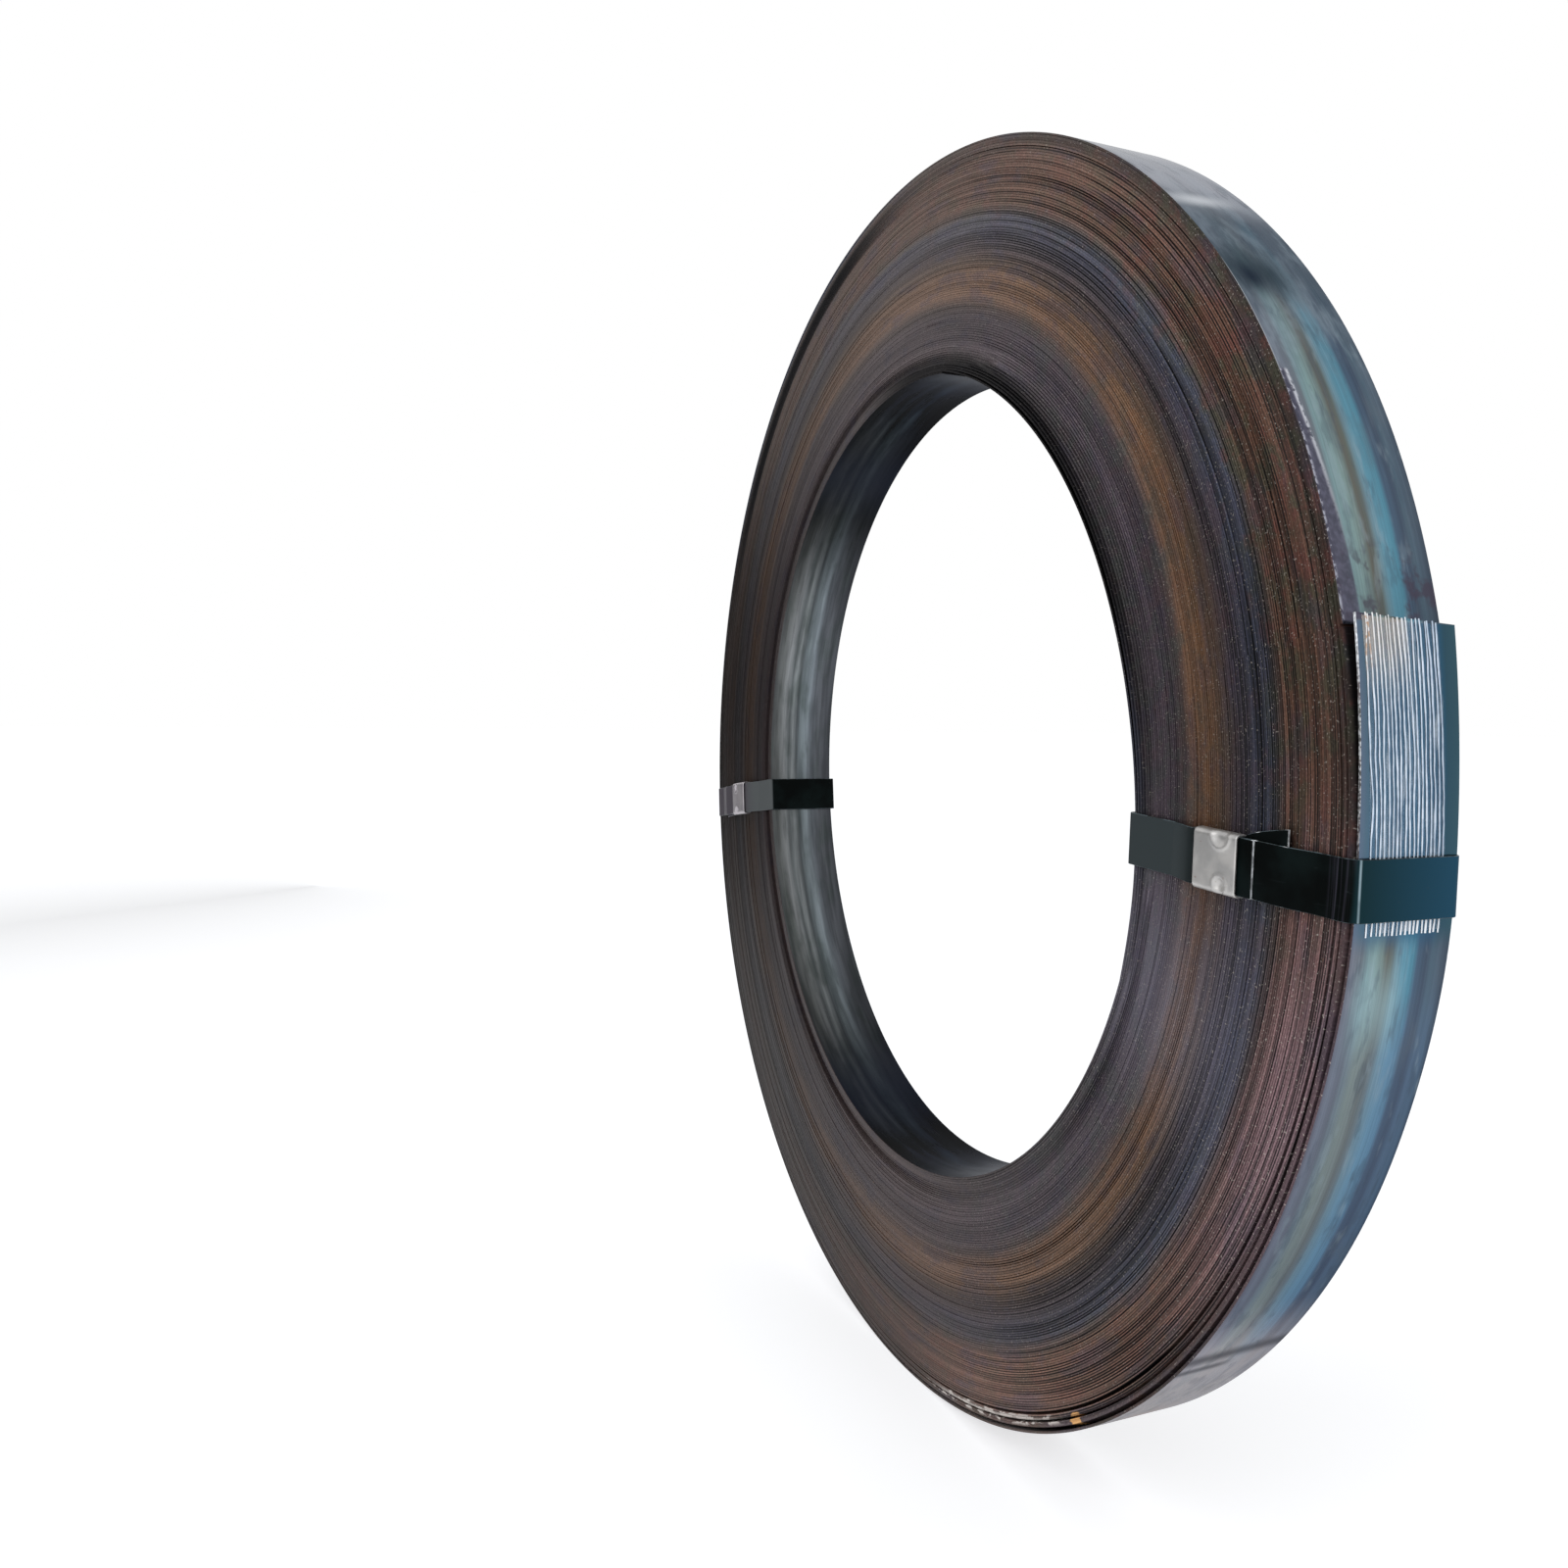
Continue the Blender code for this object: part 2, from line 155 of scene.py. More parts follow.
def linked(name, data, place=(0, 0, 0), facing=None):
    # a new object in the scene, turned to face a point where one is given
    item = bpy.data.objects.new(name, data)
    bpy.context.scene.collection.objects.link(item)
    item.location = place
    if facing:
        item.rotation_euler = (Vector(facing) - Vector(place)).to_track_quat("-Z", "Y").to_euler()
    return item


class Finish:
    # a material under construction, with the coil's own coordinates ready as wires
    def __init__(self, name):
        self.material = bpy.data.materials.new(name)
        self.material.use_nodes = True
        self.tree = self.material.node_tree
        self.shader = self.tree.nodes["Principled BSDF"]
        self.place = Wire(self.tree, None).node("ShaderNodeTexCoord", output="Object", vector=True)
        self.x, self.y, self.z = (
            self.place.node("ShaderNodeSeparateXYZ", values={0: self.place}, output=k)
            for k in range(3)
        )
        self.up = self.z - coil["height"]
        self.radius = (self.x * self.x + self.up * self.up) ** 0.5
        self.cosine = self.x / self.radius
        self.sine = self.up / self.radius
        self.angle = self.up.maths("ARCTAN2", self.x) * (180 / math.pi)
        self.across = (self.y + coil["width"] / 2) / coil["width"]

    def vector(self, x, y, z):
        return self.place.node("ShaderNodeCombineXYZ", values={0: x, 1: y, 2: z}, vector=True)

    def roundNoise(self, around, across, crosswise, detail=2.0, roughness=0.5, shift=0.0):
        # noise drawn out round the coil: across is the wire that runs over the streaks
        spot = self.vector(self.cosine * around + shift, self.sine * around, across * crosswise)
        return self.noise(spot, 1.0, detail, roughness)

    def noise(self, spot, scale, detail=2.0, roughness=0.5):
        values = {"Vector": spot, "Scale": scale, "Detail": detail, "Roughness": roughness}
        return spot.node("ShaderNodeTexNoise", {"noise_dimensions": "3D"}, values)

    def ramp(self, wire, stops):
        made = wire.node("ShaderNodeValToRGB", values={"Fac": wire}, vector=True)
        elements = made.socket.node.color_ramp.elements
        elements[0].position, elements[1].position = stops[0][0], stops[-1][0]
        for place, _ in stops[1:-1]:
            elements.new(place)
        for element, (_, code) in zip(elements, stops):
            element.color = (*tint(code), 1.0)
        return made

    def relief(self, height, distance, strength):
        return height.node(
            "ShaderNodeBump",
            values={"Height": height, "Distance": distance, "Strength": strength},
            vector=True,
        )

    def hollow(self, mask):
        # painted shade: a matt black surface where the mask is 1, standing in for gaps and shadows
        # that throw no light back
        dark = self.tree.nodes.new("ShaderNodeBsdfPrincipled")
        dark.inputs["Base Color"].default_value = (0.004, 0.004, 0.005, 1)
        dark.inputs["Roughness"].default_value = 1.0
        dark.inputs["Specular IOR Level"].default_value = 0.0
        both = self.tree.nodes.new("ShaderNodeMixShader")
        self.tree.links.new(mask.socket, both.inputs[0])
        self.tree.links.new(self.shader.outputs[0], both.inputs[1])
        self.tree.links.new(dark.outputs[0], both.inputs[2])
        self.tree.links.new(both.outputs[0], self.tree.nodes["Material Output"].inputs["Surface"])

    def wash(self, tone, mask):
        # lays a wire or a code over the colour so far, where the mask is 1
        self.colour = mixed(mask, self.colour, tone)

    def dim(self, light):
        self.colour = self.colour * self.vector(light, light, light)

    def apply(self, **sockets):
        for name, value in {"Base_Color": self.colour, **sockets}.items():
            target = self.shader.inputs[name.replace("_", " ")]
            if isinstance(value, Wire):
                self.tree.links.new(value.socket, target)
            elif isinstance(value, tuple):
                target.default_value = (*value, 1.0)
            else:
                target.default_value = value
        return self.material


def makePiece(name, points, faces, materials, replaces, faceSlots=None, sharp=35):
    mesh = bpy.data.meshes.new(name)
    mesh.from_pydata([tuple(p) for p in points], [], faces)
    for material in materials:
        mesh.materials.append(material)
    if faceSlots is not None:
        mesh.polygons.foreach_set("material_index", np.asarray(faceSlots, dtype=np.int32))
    mesh.shade_smooth()
    mesh.set_sharp_from_angle(angle=math.radians(sharp))
    mesh.update()
    piece = linked(name, mesh)
    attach(piece, "root")
    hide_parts(*replaces)
    return piece


def bandFaces(rows, columns, closedColumns=True, flip=False):
    # quads over a grid of points stored row after row
    faces = []
    for a in range(0, (rows - 1) * columns, columns):
        b = a + columns
        for j in range(columns if closedColumns else columns - 1):
            k = (j + 1) % columns
            quad = (a + j, b + j, b + k, a + k)
            faces.append(quad[::-1] if flip else quad)
    return faces


def tubeFaces(rows, columns, flip=False):
    # the same closed round its columns, with a cap on both ends
    first = tuple(range(columns))
    last = tuple((rows - 1) * columns + j for j in first)
    caps = [first, last[::-1]] if flip else [first[::-1], last]
    return bandFaces(rows, columns, flip=flip) + caps


print("coil: winding law")


gapTurns = (coil["startAngle"] - coil["endAngle"]) / 360
pitch = (coil["rim"] - coil["thickness"] - coil["bore"]) / (coil["rounds"] - gapTurns)


def turnLevel(turned):
    # the last turns step over the one end, the first ones spiral
    count = turned / 360 + gapTurns
    whole = np.floor(count)
    part = count - whole
    late = ease((count - coil["stepFrom"]) / (coil["stepTo"] - coil["stepFrom"]))
    return whole + part * (1 - late) + ease(part / coil["stepShare"]) * late


def strapRadius(turned):
    # inner face of the evenly wound strap by the degrees wound from its start
    return coil["bore"] + pitch * (turnLevel(turned) - gapTurns)


lastTurned = 360 * (coil["rounds"] - gapTurns)


def smoothNoise(places, spacing, seed):
    # one random value every so many steps, joined smoothly
    random = np.random.default_rng(seed)
    knots = random.normal(size=int(places.max() / spacing) + 3)
    low = np.floor(places / spacing).astype(int)
    share = ease(places / spacing - low)
    return knots[low] * (1 - share) + knots[low + 1] * share


weave = {
    "wander": 0.00006,  # of each turn along the axis
    "bundle": 0.00016,  # of whole groups of turns
    "gap": 0.00013,  # between the rounded edges of two turns
    "grooveDepth": 0.00012,
    "openGap": 0.00020,  # where two turns stand a little apart
    "tightest": 0.25,  # share of those gaps that is left away from the strap's end
    "wideFrom": 0.00025,  # a gap wider than this is deeper too, by the next figure times the rest
    "wideDepth": 6,
}
loosening = {
    "fromRim": [0, 1, 2, 3, 4, 5, 40],  # turns in from the rim, and how far each stands in there
    "rim": [0.0, 0.0011, 0.0011, 0.0017, 0.0017, 0.0025, 0.0],
    "lowAngle": 312,  # where the rim's turns stand loosest, and how far round that reaches
    "spread": 44,
    "least": 0.14,
    "most": 0.93,
    "boreShare": 0.86,  # of the loose inner turn's hang that the next turns follow
    "boreTurns": 20.0,
}
innerTurn = {"looseFrom": -22.0, "looseTo": 80.0, "depth": 0.0082, "setBack": 0.0005}


def sideways(turned):
    # how far the strap has slipped forward, by the degrees wound from its start
    slip = weave["wander"] * (smoothNoise(turned, 190.0, 11) + 0.6 * smoothNoise(turned, 70.0, 12))
    return slip + weave["bundle"] * smoothNoise(turned, 2900.0, 13)


def hangIn(degrees, first, last, depth):
    share = ((degrees - first) % 360) / (last - first)
    return np.where(share < 1, depth * np.sin(np.pi * np.clip(share, 0, 1)), 0.0)


def openShift(turned, degrees):
    # how far a turn stands in from its even place
    fromLow = (degrees - loosening["lowAngle"] + 180) % 360 - 180
    near = np.exp(-((fromLow / loosening["spread"]) ** 2))
    openSide = loosening["least"] + loosening["most"] * near
    shift = openSide * np.interp(
        coil["rounds"] - turnLevel(turned), loosening["fromRim"], loosening["rim"]
    )
    sag = loosening["boreShare"] * hangIn(
        degrees, innerTurn["looseFrom"], innerTurn["looseTo"], innerTurn["depth"]
    )
    return shift + sag * np.clip(1 - (turned / 360 - 1) / loosening["boreTurns"], 0, 1) ** 1.6


def windingMesh(name, firstTurned, lastTurnedHere, materials):
    step = 360 / coil["segments"]
    oneRound = coil["segments"]
    count = int(round((lastTurnedHere - firstTurned) / step))
    # a round more on both sides, for the neighbours' edges
    turned = firstTurned - 360 + step * np.arange(count + 2 * oneRound + 1)
    degrees = coil["startAngle"] + turned
    gap = np.clip(weave["gap"] * (1 + 0.5 * smoothNoise(turned, 110.0, 14)), 0.00003, None)
    gap += weave["openGap"] * np.clip(smoothNoise(turned, 150.0, 15) - 0.7, 0, 1.2)
    openShare = ease((np.cos(np.radians(degrees)) + 0.1) / 0.8)
    gap *= weave["tightest"] + (1 - weave["tightest"]) * openShare
    inner = strapRadius(turned) - openShift(turned, degrees)
    following = strapRadius(turned + 360) - openShift(turned + 360, degrees)
    left = inner + gap / 2
    right = inner + np.minimum(following - inner, pitch) - gap / 2
    before, after = right[:-oneRound], left[oneRound:]
    boundary = turned[oneRound:]
    after = np.where(boundary > lastTurned - 360, inner[oneRound:], after)
    before = np.where(boundary < 720, after - 0.00005, before)
    wide = np.clip(after - before - weave["wideFrom"], 0, None)
    depth = weave["grooveDepth"] + weave["wideDepth"] * wide
    groove = np.where(boundary > lastTurned - 360, after, (before + after) / 2)
    allDegrees = degrees[oneRound:]
    here = slice(oneRound, oneRound + count + 1)
    turned, degrees, left, right = turned[here], degrees[here], left[here], right[here]
    slip = sideways(turned)
    half = coil["width"] / 2
    points = []
    faces = []
    offsets = {}
    for side in (-1, 1):
        crest = side * half - slip
        shallow = side * (half - depth)
        offsets[side] = len(points)
        points.extend(coilPoint(groove, allDegrees, shallow))
        points.extend(coilPoint(left, degrees, crest))
        points.extend(coilPoint(right, degrees, crest))
    grooves = count + oneRound + 1

    def grooveAt(side, k):
        return offsets[side] + k

    def leftAt(side, k):
        return offsets[side] + grooves + k

    def rightAt(side, k):
        return offsets[side] + grooves + count + 1 + k

    for side in (-1, 1):
        for k in range(count):
            ladder = [
                (grooveAt(side, k), grooveAt(side, k + 1)),
                (leftAt(side, k), leftAt(side, k + 1)),
                (rightAt(side, k), rightAt(side, k + 1)),
                (grooveAt(side, k + oneRound), grooveAt(side, k + oneRound + 1)),
            ]
            for (a, b), (c, d) in zip(ladder, ladder[1:]):
                faces.append((a, c, d, b) if side < 0 else (a, b, d, c))
    for k in range(oneRound):
        faces.append((grooveAt(-1, k), grooveAt(-1, k + 1), grooveAt(1, k + 1), grooveAt(1, k)))
        m = k + count
        faces.append((grooveAt(-1, m), grooveAt(1, m), grooveAt(1, m + 1), grooveAt(-1, m + 1)))
    for k, flip in ((0, False), (count, True)):
        cap = [grooveAt(-1, k), leftAt(-1, k), rightAt(-1, k), grooveAt(-1, k + oneRound)]
        cap += [grooveAt(1, k + oneRound), rightAt(1, k), leftAt(1, k), grooveAt(1, k)]
        faces.append(tuple(reversed(cap)) if flip else tuple(cap))
    return makePiece(name, points, faces, materials, ["strap_coil"], sharp=50)


tail = {
    "lift": 0.0026,
    "span": 14.0,
    "slant": 0.0019,
    "slantSpan": 3.0,
    "setBack": 0.0009,  # along the axis, down to the next angle and less and less below it
    "setBackTo": -8.0,
    "setBackFade": 14.0,
}


def askew(degrees, depth):
    # the strap's end is cut at a slant, so its front corner reaches further round
    slant = math.degrees(tail["slant"] / coil["rim"])
    past = degrees - coil["endAngle"]
    near = np.clip((past + tail["slantSpan"]) / tail["slantSpan"], 0, 1) * (past < 2)
    return degrees + near * slant * (0.5 - depth / coil["width"])


def strapRibbon(name, inner, degrees, slip, thickness, materials, replaces):
    # a length of the strap with eased edges, from its inner face's radius at each angle
    half = coil["width"] / 2
    easeBy = 0.00016
    rim = [
        (0, -half + easeBy), (easeBy, -half),
        (thickness - easeBy, -half), (thickness, -half + easeBy),
        (thickness, half - easeBy), (thickness - easeBy, half),
        (easeBy, half), (0, half - easeBy),
    ]
    rows = len(degrees)
    points = np.stack(
        [coilPoint(inner + out, askew(degrees, depth), depth - slip) for out, depth in rim], 1
    )
    slots = [1 if j in (3, 7) else 0 for j in range(len(rim))] * (rows - 1) + [0, 0]
    return makePiece(
        name, points.reshape(-1, 3), tubeFaces(rows, len(rim), flip=True), materials,
        replaces, slots, sharp=30,
    )


def outerTurnInner(degrees):
    # inner face of the last turn, springing off the coil towards its end
    travel = coil["endAngle"] - degrees
    lift = tail["lift"] * np.clip(1 - travel / tail["span"], 0, None) ** 2
    turned = lastTurned - travel
    return strapRadius(turned) - openShift(turned, degrees) + lift


def edgeTints(look, share, right, below):
    # the inner tint bands aren't quite round
    drift = 0.092 - look.cosine * 0.037 - look.cosine * look.cosine * 0.055 - look.sine * 0.0125
    drift = drift * share.fade(0.48, 0.70)
    sway = (look.roundNoise(1.6, look.radius, 25.0, 2.0) - 0.5) * 0.06
    bands = look.ramp(
        share - drift + sway,
        [
            (0.00, "3b363a"), (0.08, "494048"), (0.19, "3f373e"), (0.23, "453a39"),
            (0.28, "644a39"), (0.36, "644935"), (0.42, "49392f"), (0.47, "32292b"),
            (0.53, "332f37"), (0.59, "2c2f3c"), (0.66, "343742"), (0.69, "3f3736"),
            (0.73, "4f382d"), (0.83, "51382c"), (0.90, "4e372d"), (0.96, "3e2f29"),
            (1.00, "221c1b"),
        ],
    )
    green = look.roundNoise(20.0, look.radius, 150.0, 4.0, 0.6)
    red = look.roundNoise(20.0, look.radius, 150.0, 4.0, 0.6, shift=30.0)
    violet = look.roundNoise(9.0, look.radius, 150.0, 3.0, 0.6, shift=60.0)
    patchy = look.angle.bump(20.0, 50.0) * 0.70 + 0.30
    outer = (share.between(0.55, 0.75) * 0.8 + 0.2) * patchy * (1 - below * 0.9)
    inside = green.between(0.48, 0.62) * share.fade(0.25, 0.42) * right
    dull = mixed(look.sine.between(-0.2, 0.7), "50403c", "4b423f")
    look.colour = mixed((1 - right) * 0.48, bands, dull)
    # painted sheen: the turns low on the right are painted a lighter pinkish grey
    look.wash("645158", below * 0.75)
    look.wash("35382b", green.between(0.46, 0.62) * outer * 0.75)
    look.wash("55312c", red.between(0.50, 0.64) * outer * 0.62)
    look.wash("33303f", violet.between(0.50, 0.64) * 0.35)
    look.wash("3c413f", inside * 0.40)


def turnCount(look):
    # the turns up to each spot, a whole number at the boundaries between them
    part = ((look.angle - coil["endAngle"]) / 360 + 1).maths("FRACT")
    count = (look.radius - coil["bore"]) / pitch + gapTurns
    fromLow = (look.angle - (loosening["lowAngle"] - 360)).maths("ABSOLUTE")
    fromLow = fromLow.maths("MINIMUM", 360 - fromLow) / loosening["spread"]
    openSide = (fromLow * fromLow * -1).maths("EXPONENT") * loosening["most"] + loosening["least"]
    loosest, firm = loosening["fromRim"][-2:]
    squeeze = openSide * (loosening["rim"][-2] / ((firm - loosest) * pitch))
    count = count + (count - (coil["rounds"] - firm)).larger(0.0) * squeeze / (1 - squeeze)
    late = count.between(coil["stepFrom"], coil["stepTo"])
    return count - part * (1 - late) - part.between(0.0, coil["stepShare"]) * late


def ringLight(look, share, right, below):
    # painted light and shade on the ring's end as a whole, lighter and darker by angle
    doubled = look.cosine * look.cosine * 2 - 1
    light = 1.00 + look.cosine * 0.16 - doubled * 0.20 + look.sine * 0.19
    left = (0 - look.cosine).between(0.0, 0.7)
    light = light * (1 - left * (share * 0.28 + 0.10)) * (1 + below * 0.20)
    lowLeft = (look.cosine * -0.866 - look.sine * 0.5).between(0.15, 1.0)
    lowDark = share.between(0.04, 0.20) * 0.36 + share.between(0.50, 0.64) * 0.20
    light = light * (1 - lowLeft * lowDark)
    # painted lighter and darker stretches: the angle, its reach, the part of the ring, the gain
    for middle, reach, ring, gain in (
        (-45.0, 24.0, share.bump(0.54, 0.20), -0.24),
        (21.0, 26.0, share.between(0.55, 0.85), -0.24),
        (-64.0, 30.0, share.between(0.64, 0.84), 0.95),
        (60.0, 26.0, share.bump(0.55, 0.16), 0.22),
    ):
        light = light * (look.angle.bump(middle, reach) * ring * gain + 1)
    return light * (1 - (1 - right) * share.bump(0.22, 0.14) * 0.22)


def chalkMarks(look, front):
    # chalk and a rubbed spot low on the outermost turns
    low = look.roundNoise(45.0, look.radius, 600.0, 3.0, 0.6, shift=12.0)
    chalk = low.between(0.49, 0.57) * look.radius.bump(0.2301, 0.0022) * 1.5
    chalk = look.radius.bump(0.2299, 0.0010) * 0.45 + chalk
    chalk = chalk * look.angle.bump(-72.0, 16.0).between(0.0, 0.5)
    look.wash("cdc6c0", chalk.between(0.0, 0.75) * front * 0.78)
    spot = look.angle.bump(-58.6, 1.5) * look.radius.bump(0.2310, 0.0034) + (low - 0.5) * 1.2
    look.wash("d2a066", spot.between(0.30, 0.48) * front)


def bareEnd(look, grain):
    # the slit edge of the strap's free end is bare, with a painted shadow in a dark line under it
    sprung = ((look.angle + (tail["span"] - coil["endAngle"])) / tail["span"]).larger(0.0)
    sprung = look.radius - sprung * sprung * tail["lift"] - (coil["rim"] - coil["thickness"])
    onTail = look.angle.window(-5.0, 1.0, 11.5, 11.6) * look.cosine.between(0.9, 0.95)
    free = sprung.between(-0.00012, -0.00006) * onTail
    shadowUnder = (1 - free) * look.radius.between(coil["rim"] - 0.0012, coil["rim"] - 0.0008) * onTail
    look.wash("0a090b", shadowUnder * 0.9)
    bare = look.angle.between(6.0, 10.0) * 0.40 + grain.between(0.42, 0.62) * 0.45 + 0.08
    look.wash("e4e8ec", free * bare)


def edgeFinish():
    look = Finish("bluedStrapEdges")
    share = (look.radius - coil["bore"]) / (coil["rim"] - coil["bore"])
    right = look.cosine.between(-0.1, 0.9)
    # the lower right of the ring's end, where a lighter sheen is painted on
    below = look.angle.bump(-22.0, 27.0) * share.between(0.60, 0.85)
    front = look.y.fade(-0.004, 0.004)
    edgeTints(look, share, right, below)
    # every turn has a tone of its own, and painted shade draws dark lines where turns stand apart
    count = turnCount(look)
    own = look.roundNoise(1.7, count.maths("FLOOR"), 3.71, 1.0)
    strong = look.roundNoise(1.5, (count + 0.5).maths("FLOOR"), 5.3, 1.0, shift=20.0)
    group = look.roundNoise(1.5, look.radius, 240.0, 2.0, 0.5, shift=17.0).between(0.32, 0.68)
    grain = look.roundNoise(260.0, look.radius, 1900.0, 1.0)
    zone = (share.between(0.30, 0.62) * 0.72 + 0.28) * (right * 0.78 + 0.22)
    zone = zone * share.fade(0.955, 0.97)
    rimLines = look.angle.bump(-58.0, 46.0) * share.between(0.72, 0.84) * 0.10
    fromMiddle = (count.maths("FRACT") - 0.5).maths("ABSOLUTE")
    gapShade = (strong + rimLines).between(0.50, 0.58) * fromMiddle.between(0.08, 0.32) * zone
    seam = fromMiddle.between(0.20, 0.48) * (zone * 0.95 + 0.03)
    tone = 1 + (own.between(0.30, 0.70) - 0.5) * (zone * 0.85 + 0.10) + (group - 0.5) * 0.32
    light = tone * (1 - gapShade * 0.80) * (1 - seam * 0.42)
    light = light * ringLight(look, share, right, below) * (0.90 + zone * 0.30)
    light = light * (0.76 + grain.between(0.25, 0.75) * 0.48)
    # painted shade: a dark band near the rim at the upper left, and the loose turn's shadow
    # painted on the turns that hang in it
    topLeft = look.angle.window(85.0, 110.0, 138.0, 170.0) * front
    shade = look.radius.window(0.2226, 0.2252, 0.2290, 0.2325) * topLeft
    hung = look.angle.between(innerTurn["looseFrom"], innerTurn["looseTo"])
    hung = (hung * math.pi).maths("SINE")
    beyond = look.radius - coil["bore"] + hung * innerTurn["depth"]
    covered = beyond.fade(0.0025, 0.0085) * look.angle.between(2.0, 26.0)
    covered = covered * look.angle.fade(88.0, 110.0)
    look.dim(light * (1 - shade * 0.80) * (1 - covered * 0.80))
    gaps = (gapShade * 0.84 + seam * 0.16) * look.angle.maths("ABSOLUTE").bump(50.0, 36.0)
    look.hollow(gaps.larger(shade * 0.80).larger(covered * 0.55))
    look.wash("262c3a", beyond.fade(0.0015, 0.0050) * look.angle.bump(4.0, 22.0) * 0.65)
    look.wash("1c2536", look.radius.between(0.2318, 0.2328) * topLeft * 0.8)
    # painted sheen: a pale highlight on the inner turns low on the right
    sheen = look.angle.bump(-19.0, 17.0) * share.fade(0.35, 0.80) * (own * 0.36 + 0.04)
    look.wash("8c8a9c", sheen)
    # painted glints: small specks along the turns, painted light grey and made smoother
    sparkle = look.roundNoise(420.0, look.radius, 1900.0, 0.0).between(0.70, 0.81)
    sparkle = sparkle * (right * 0.7 + 0.3)
    look.wash("b0a8a0", sparkle * (below * 0.22 + 0.38))
    chalkMarks(look, front)
    bareEnd(look, grain)
    return look.apply(
        Roughness=0.56 - sparkle * 0.12 - own * 0.15,
        Metallic=0.5,
        Specular_IOR_Level=0.25,
        Normal=look.relief(own * 0.5 + grain * 0.5, 0.00010, 0.8),
    )


def flatBands(look, across, behind):
    # bands along the strap, which lose themselves higher up under a painted reflection in grey
    # clouds and near white
    sway = (look.roundNoise(2.2, look.y, 60.0, 2.0) - 0.5) * 0.06
    upper = look.ramp(
        across + sway,
        [
            (0.00, "55535f"), (0.06, "6b6f7a"), (0.14, "62686f"), (0.19, "6d8488"),
            (0.27, "738a8a"), (0.34, "6c7b78"), (0.39, "5a5a54"), (0.44, "5a605b"),
            (0.49, "65808b"), (0.56, "568395"), (0.66, "4e7b8d"), (0.71, "46586a"),
            (0.80, "404b5a"), (0.86, "4a5b68"), (0.94, "495663"), (1.00, "3b4450"),
        ],
    )
    lower = look.ramp(
        across + sway,
        [
            (0.00, "5f606c"), (0.06, "6d7482"), (0.13, "626874"), (0.18, "6c7982"),
            (0.26, "758181"), (0.33, "727c7d"), (0.38, "636a6c"), (0.43, "67737a"),
            (0.48, "6a8493"), (0.58, "63859c"), (0.68, "5c7c95"), (0.72, "4c5c70"),
            (0.80, "465264"), (0.85, "516378"), (0.95, "4d6074"), (1.00, "3c4858"),
        ],
    )
    look.colour = mixed(look.angle.between(-16.0, -10.0), lower, upper)
    look.wash("839ea4", look.angle.bump(-12.0, 4.0) * across.window(0.06, 0.14, 0.50, 0.66) * 0.5)
    wander = (look.roundNoise(9.0, look.y, 90.0, 3.0, 0.6, shift=70.0) - 0.5) * 26
    # painted reflection: from about 30 degrees up the strap is painted clouded grey, near white
    # above about 45
    reflectedAbove = (look.angle + wander).between(24.0, 42.0).larger(behind)
    cloudy = look.roundNoise(14.0, look.y, 160.0, 3.0, 0.6, shift=33.0).between(0.40, 0.62)
    pale = look.angle.between(42.5, 50.0).larger(behind)
    look.wash(mixed(pale, mixed(cloudy, "5f6a74", "7b8892"), "c4c7ce"), reflectedAbove * 0.9)
    # painted reflection of the floor: low down the strap is painted near white
    low = look.angle.fade(-48.0, -34.0) * (1 - behind)
    look.wash(mixed(cloudy, "cac3c5", "d8cecb"), low * 0.92)
    # a warm patch round -56 degrees, and painted shade near the front edge round -62
    look.wash("c9a891", look.angle.bump(-56.0, 6.0) * across.bump(0.5, 0.4) * 0.45)
    look.wash("2e2625", look.angle.bump(-62.0, 8.0) * across.fade(0.34, 0.50) * 0.85)


def flatGain(look, across, behind):
    # painted light and shade: how light the strap's face is painted on its way round
    gain = look.angle.between(-52.0, -42.0).larger(behind) * 0.26 + 0.76
    gain = gain + look.angle.bump(-11.0, 7.0) * 0.22
    gain = gain + look.angle.window(11.0, 16.0, 30.0, 38.0) * 0.24
    gain = gain + look.angle.bump(52.0, 9.0) * 0.12
    return gain + look.angle.bump(-40.0, 9.0) * across.fade(0.20, 0.70) * 0.28


def frontMargin(look, fine):
    # the front margin near the strap's end, purple-grey with a rubbed white border
    reach = -0.0098 - look.angle.between(11.0, 27.8) * 0.0038
    inMargin = (look.y - reach).fade(-0.0004, 0.0004)
    stretch = look.angle.window(10.6, 10.7, 27.6, 27.9)
    mottle = look.roundNoise(120.0, look.y, 700.0, 3.0, 0.6, shift=3.0)
    look.wash(mixed(mottle.between(0.35, 0.70), "454452", "595869"), stretch * inMargin * 0.85)
    border = (look.y - reach).bump(0.0, 0.0010) * stretch * look.angle.between(14.0, 26.0)
    look.wash("c9ccd4", border * mottle.between(0.36, 0.50) * 0.9)
    rubbed = look.y.bump(-0.0156, 0.0009) * stretch * mottle.between(0.48, 0.56)
    look.wash("b9bbc8", rubbed * 0.7)
    worn = look.y.bump(-0.0160, 0.0007) * look.angle.window(26.0, 28.0, 36.0, 39.0)
    look.wash("dfe4e8", worn * fine.between(0.25, 0.5) * 0.9)
    stain = look.roundNoise(30.0, look.y, 170.0, 3.0, 0.6, shift=61.0).between(0.50, 0.62)
    look.wash("463f4c", stain * look.angle.window(10.6, 11.4, 13.5, 17.0) * 0.75)


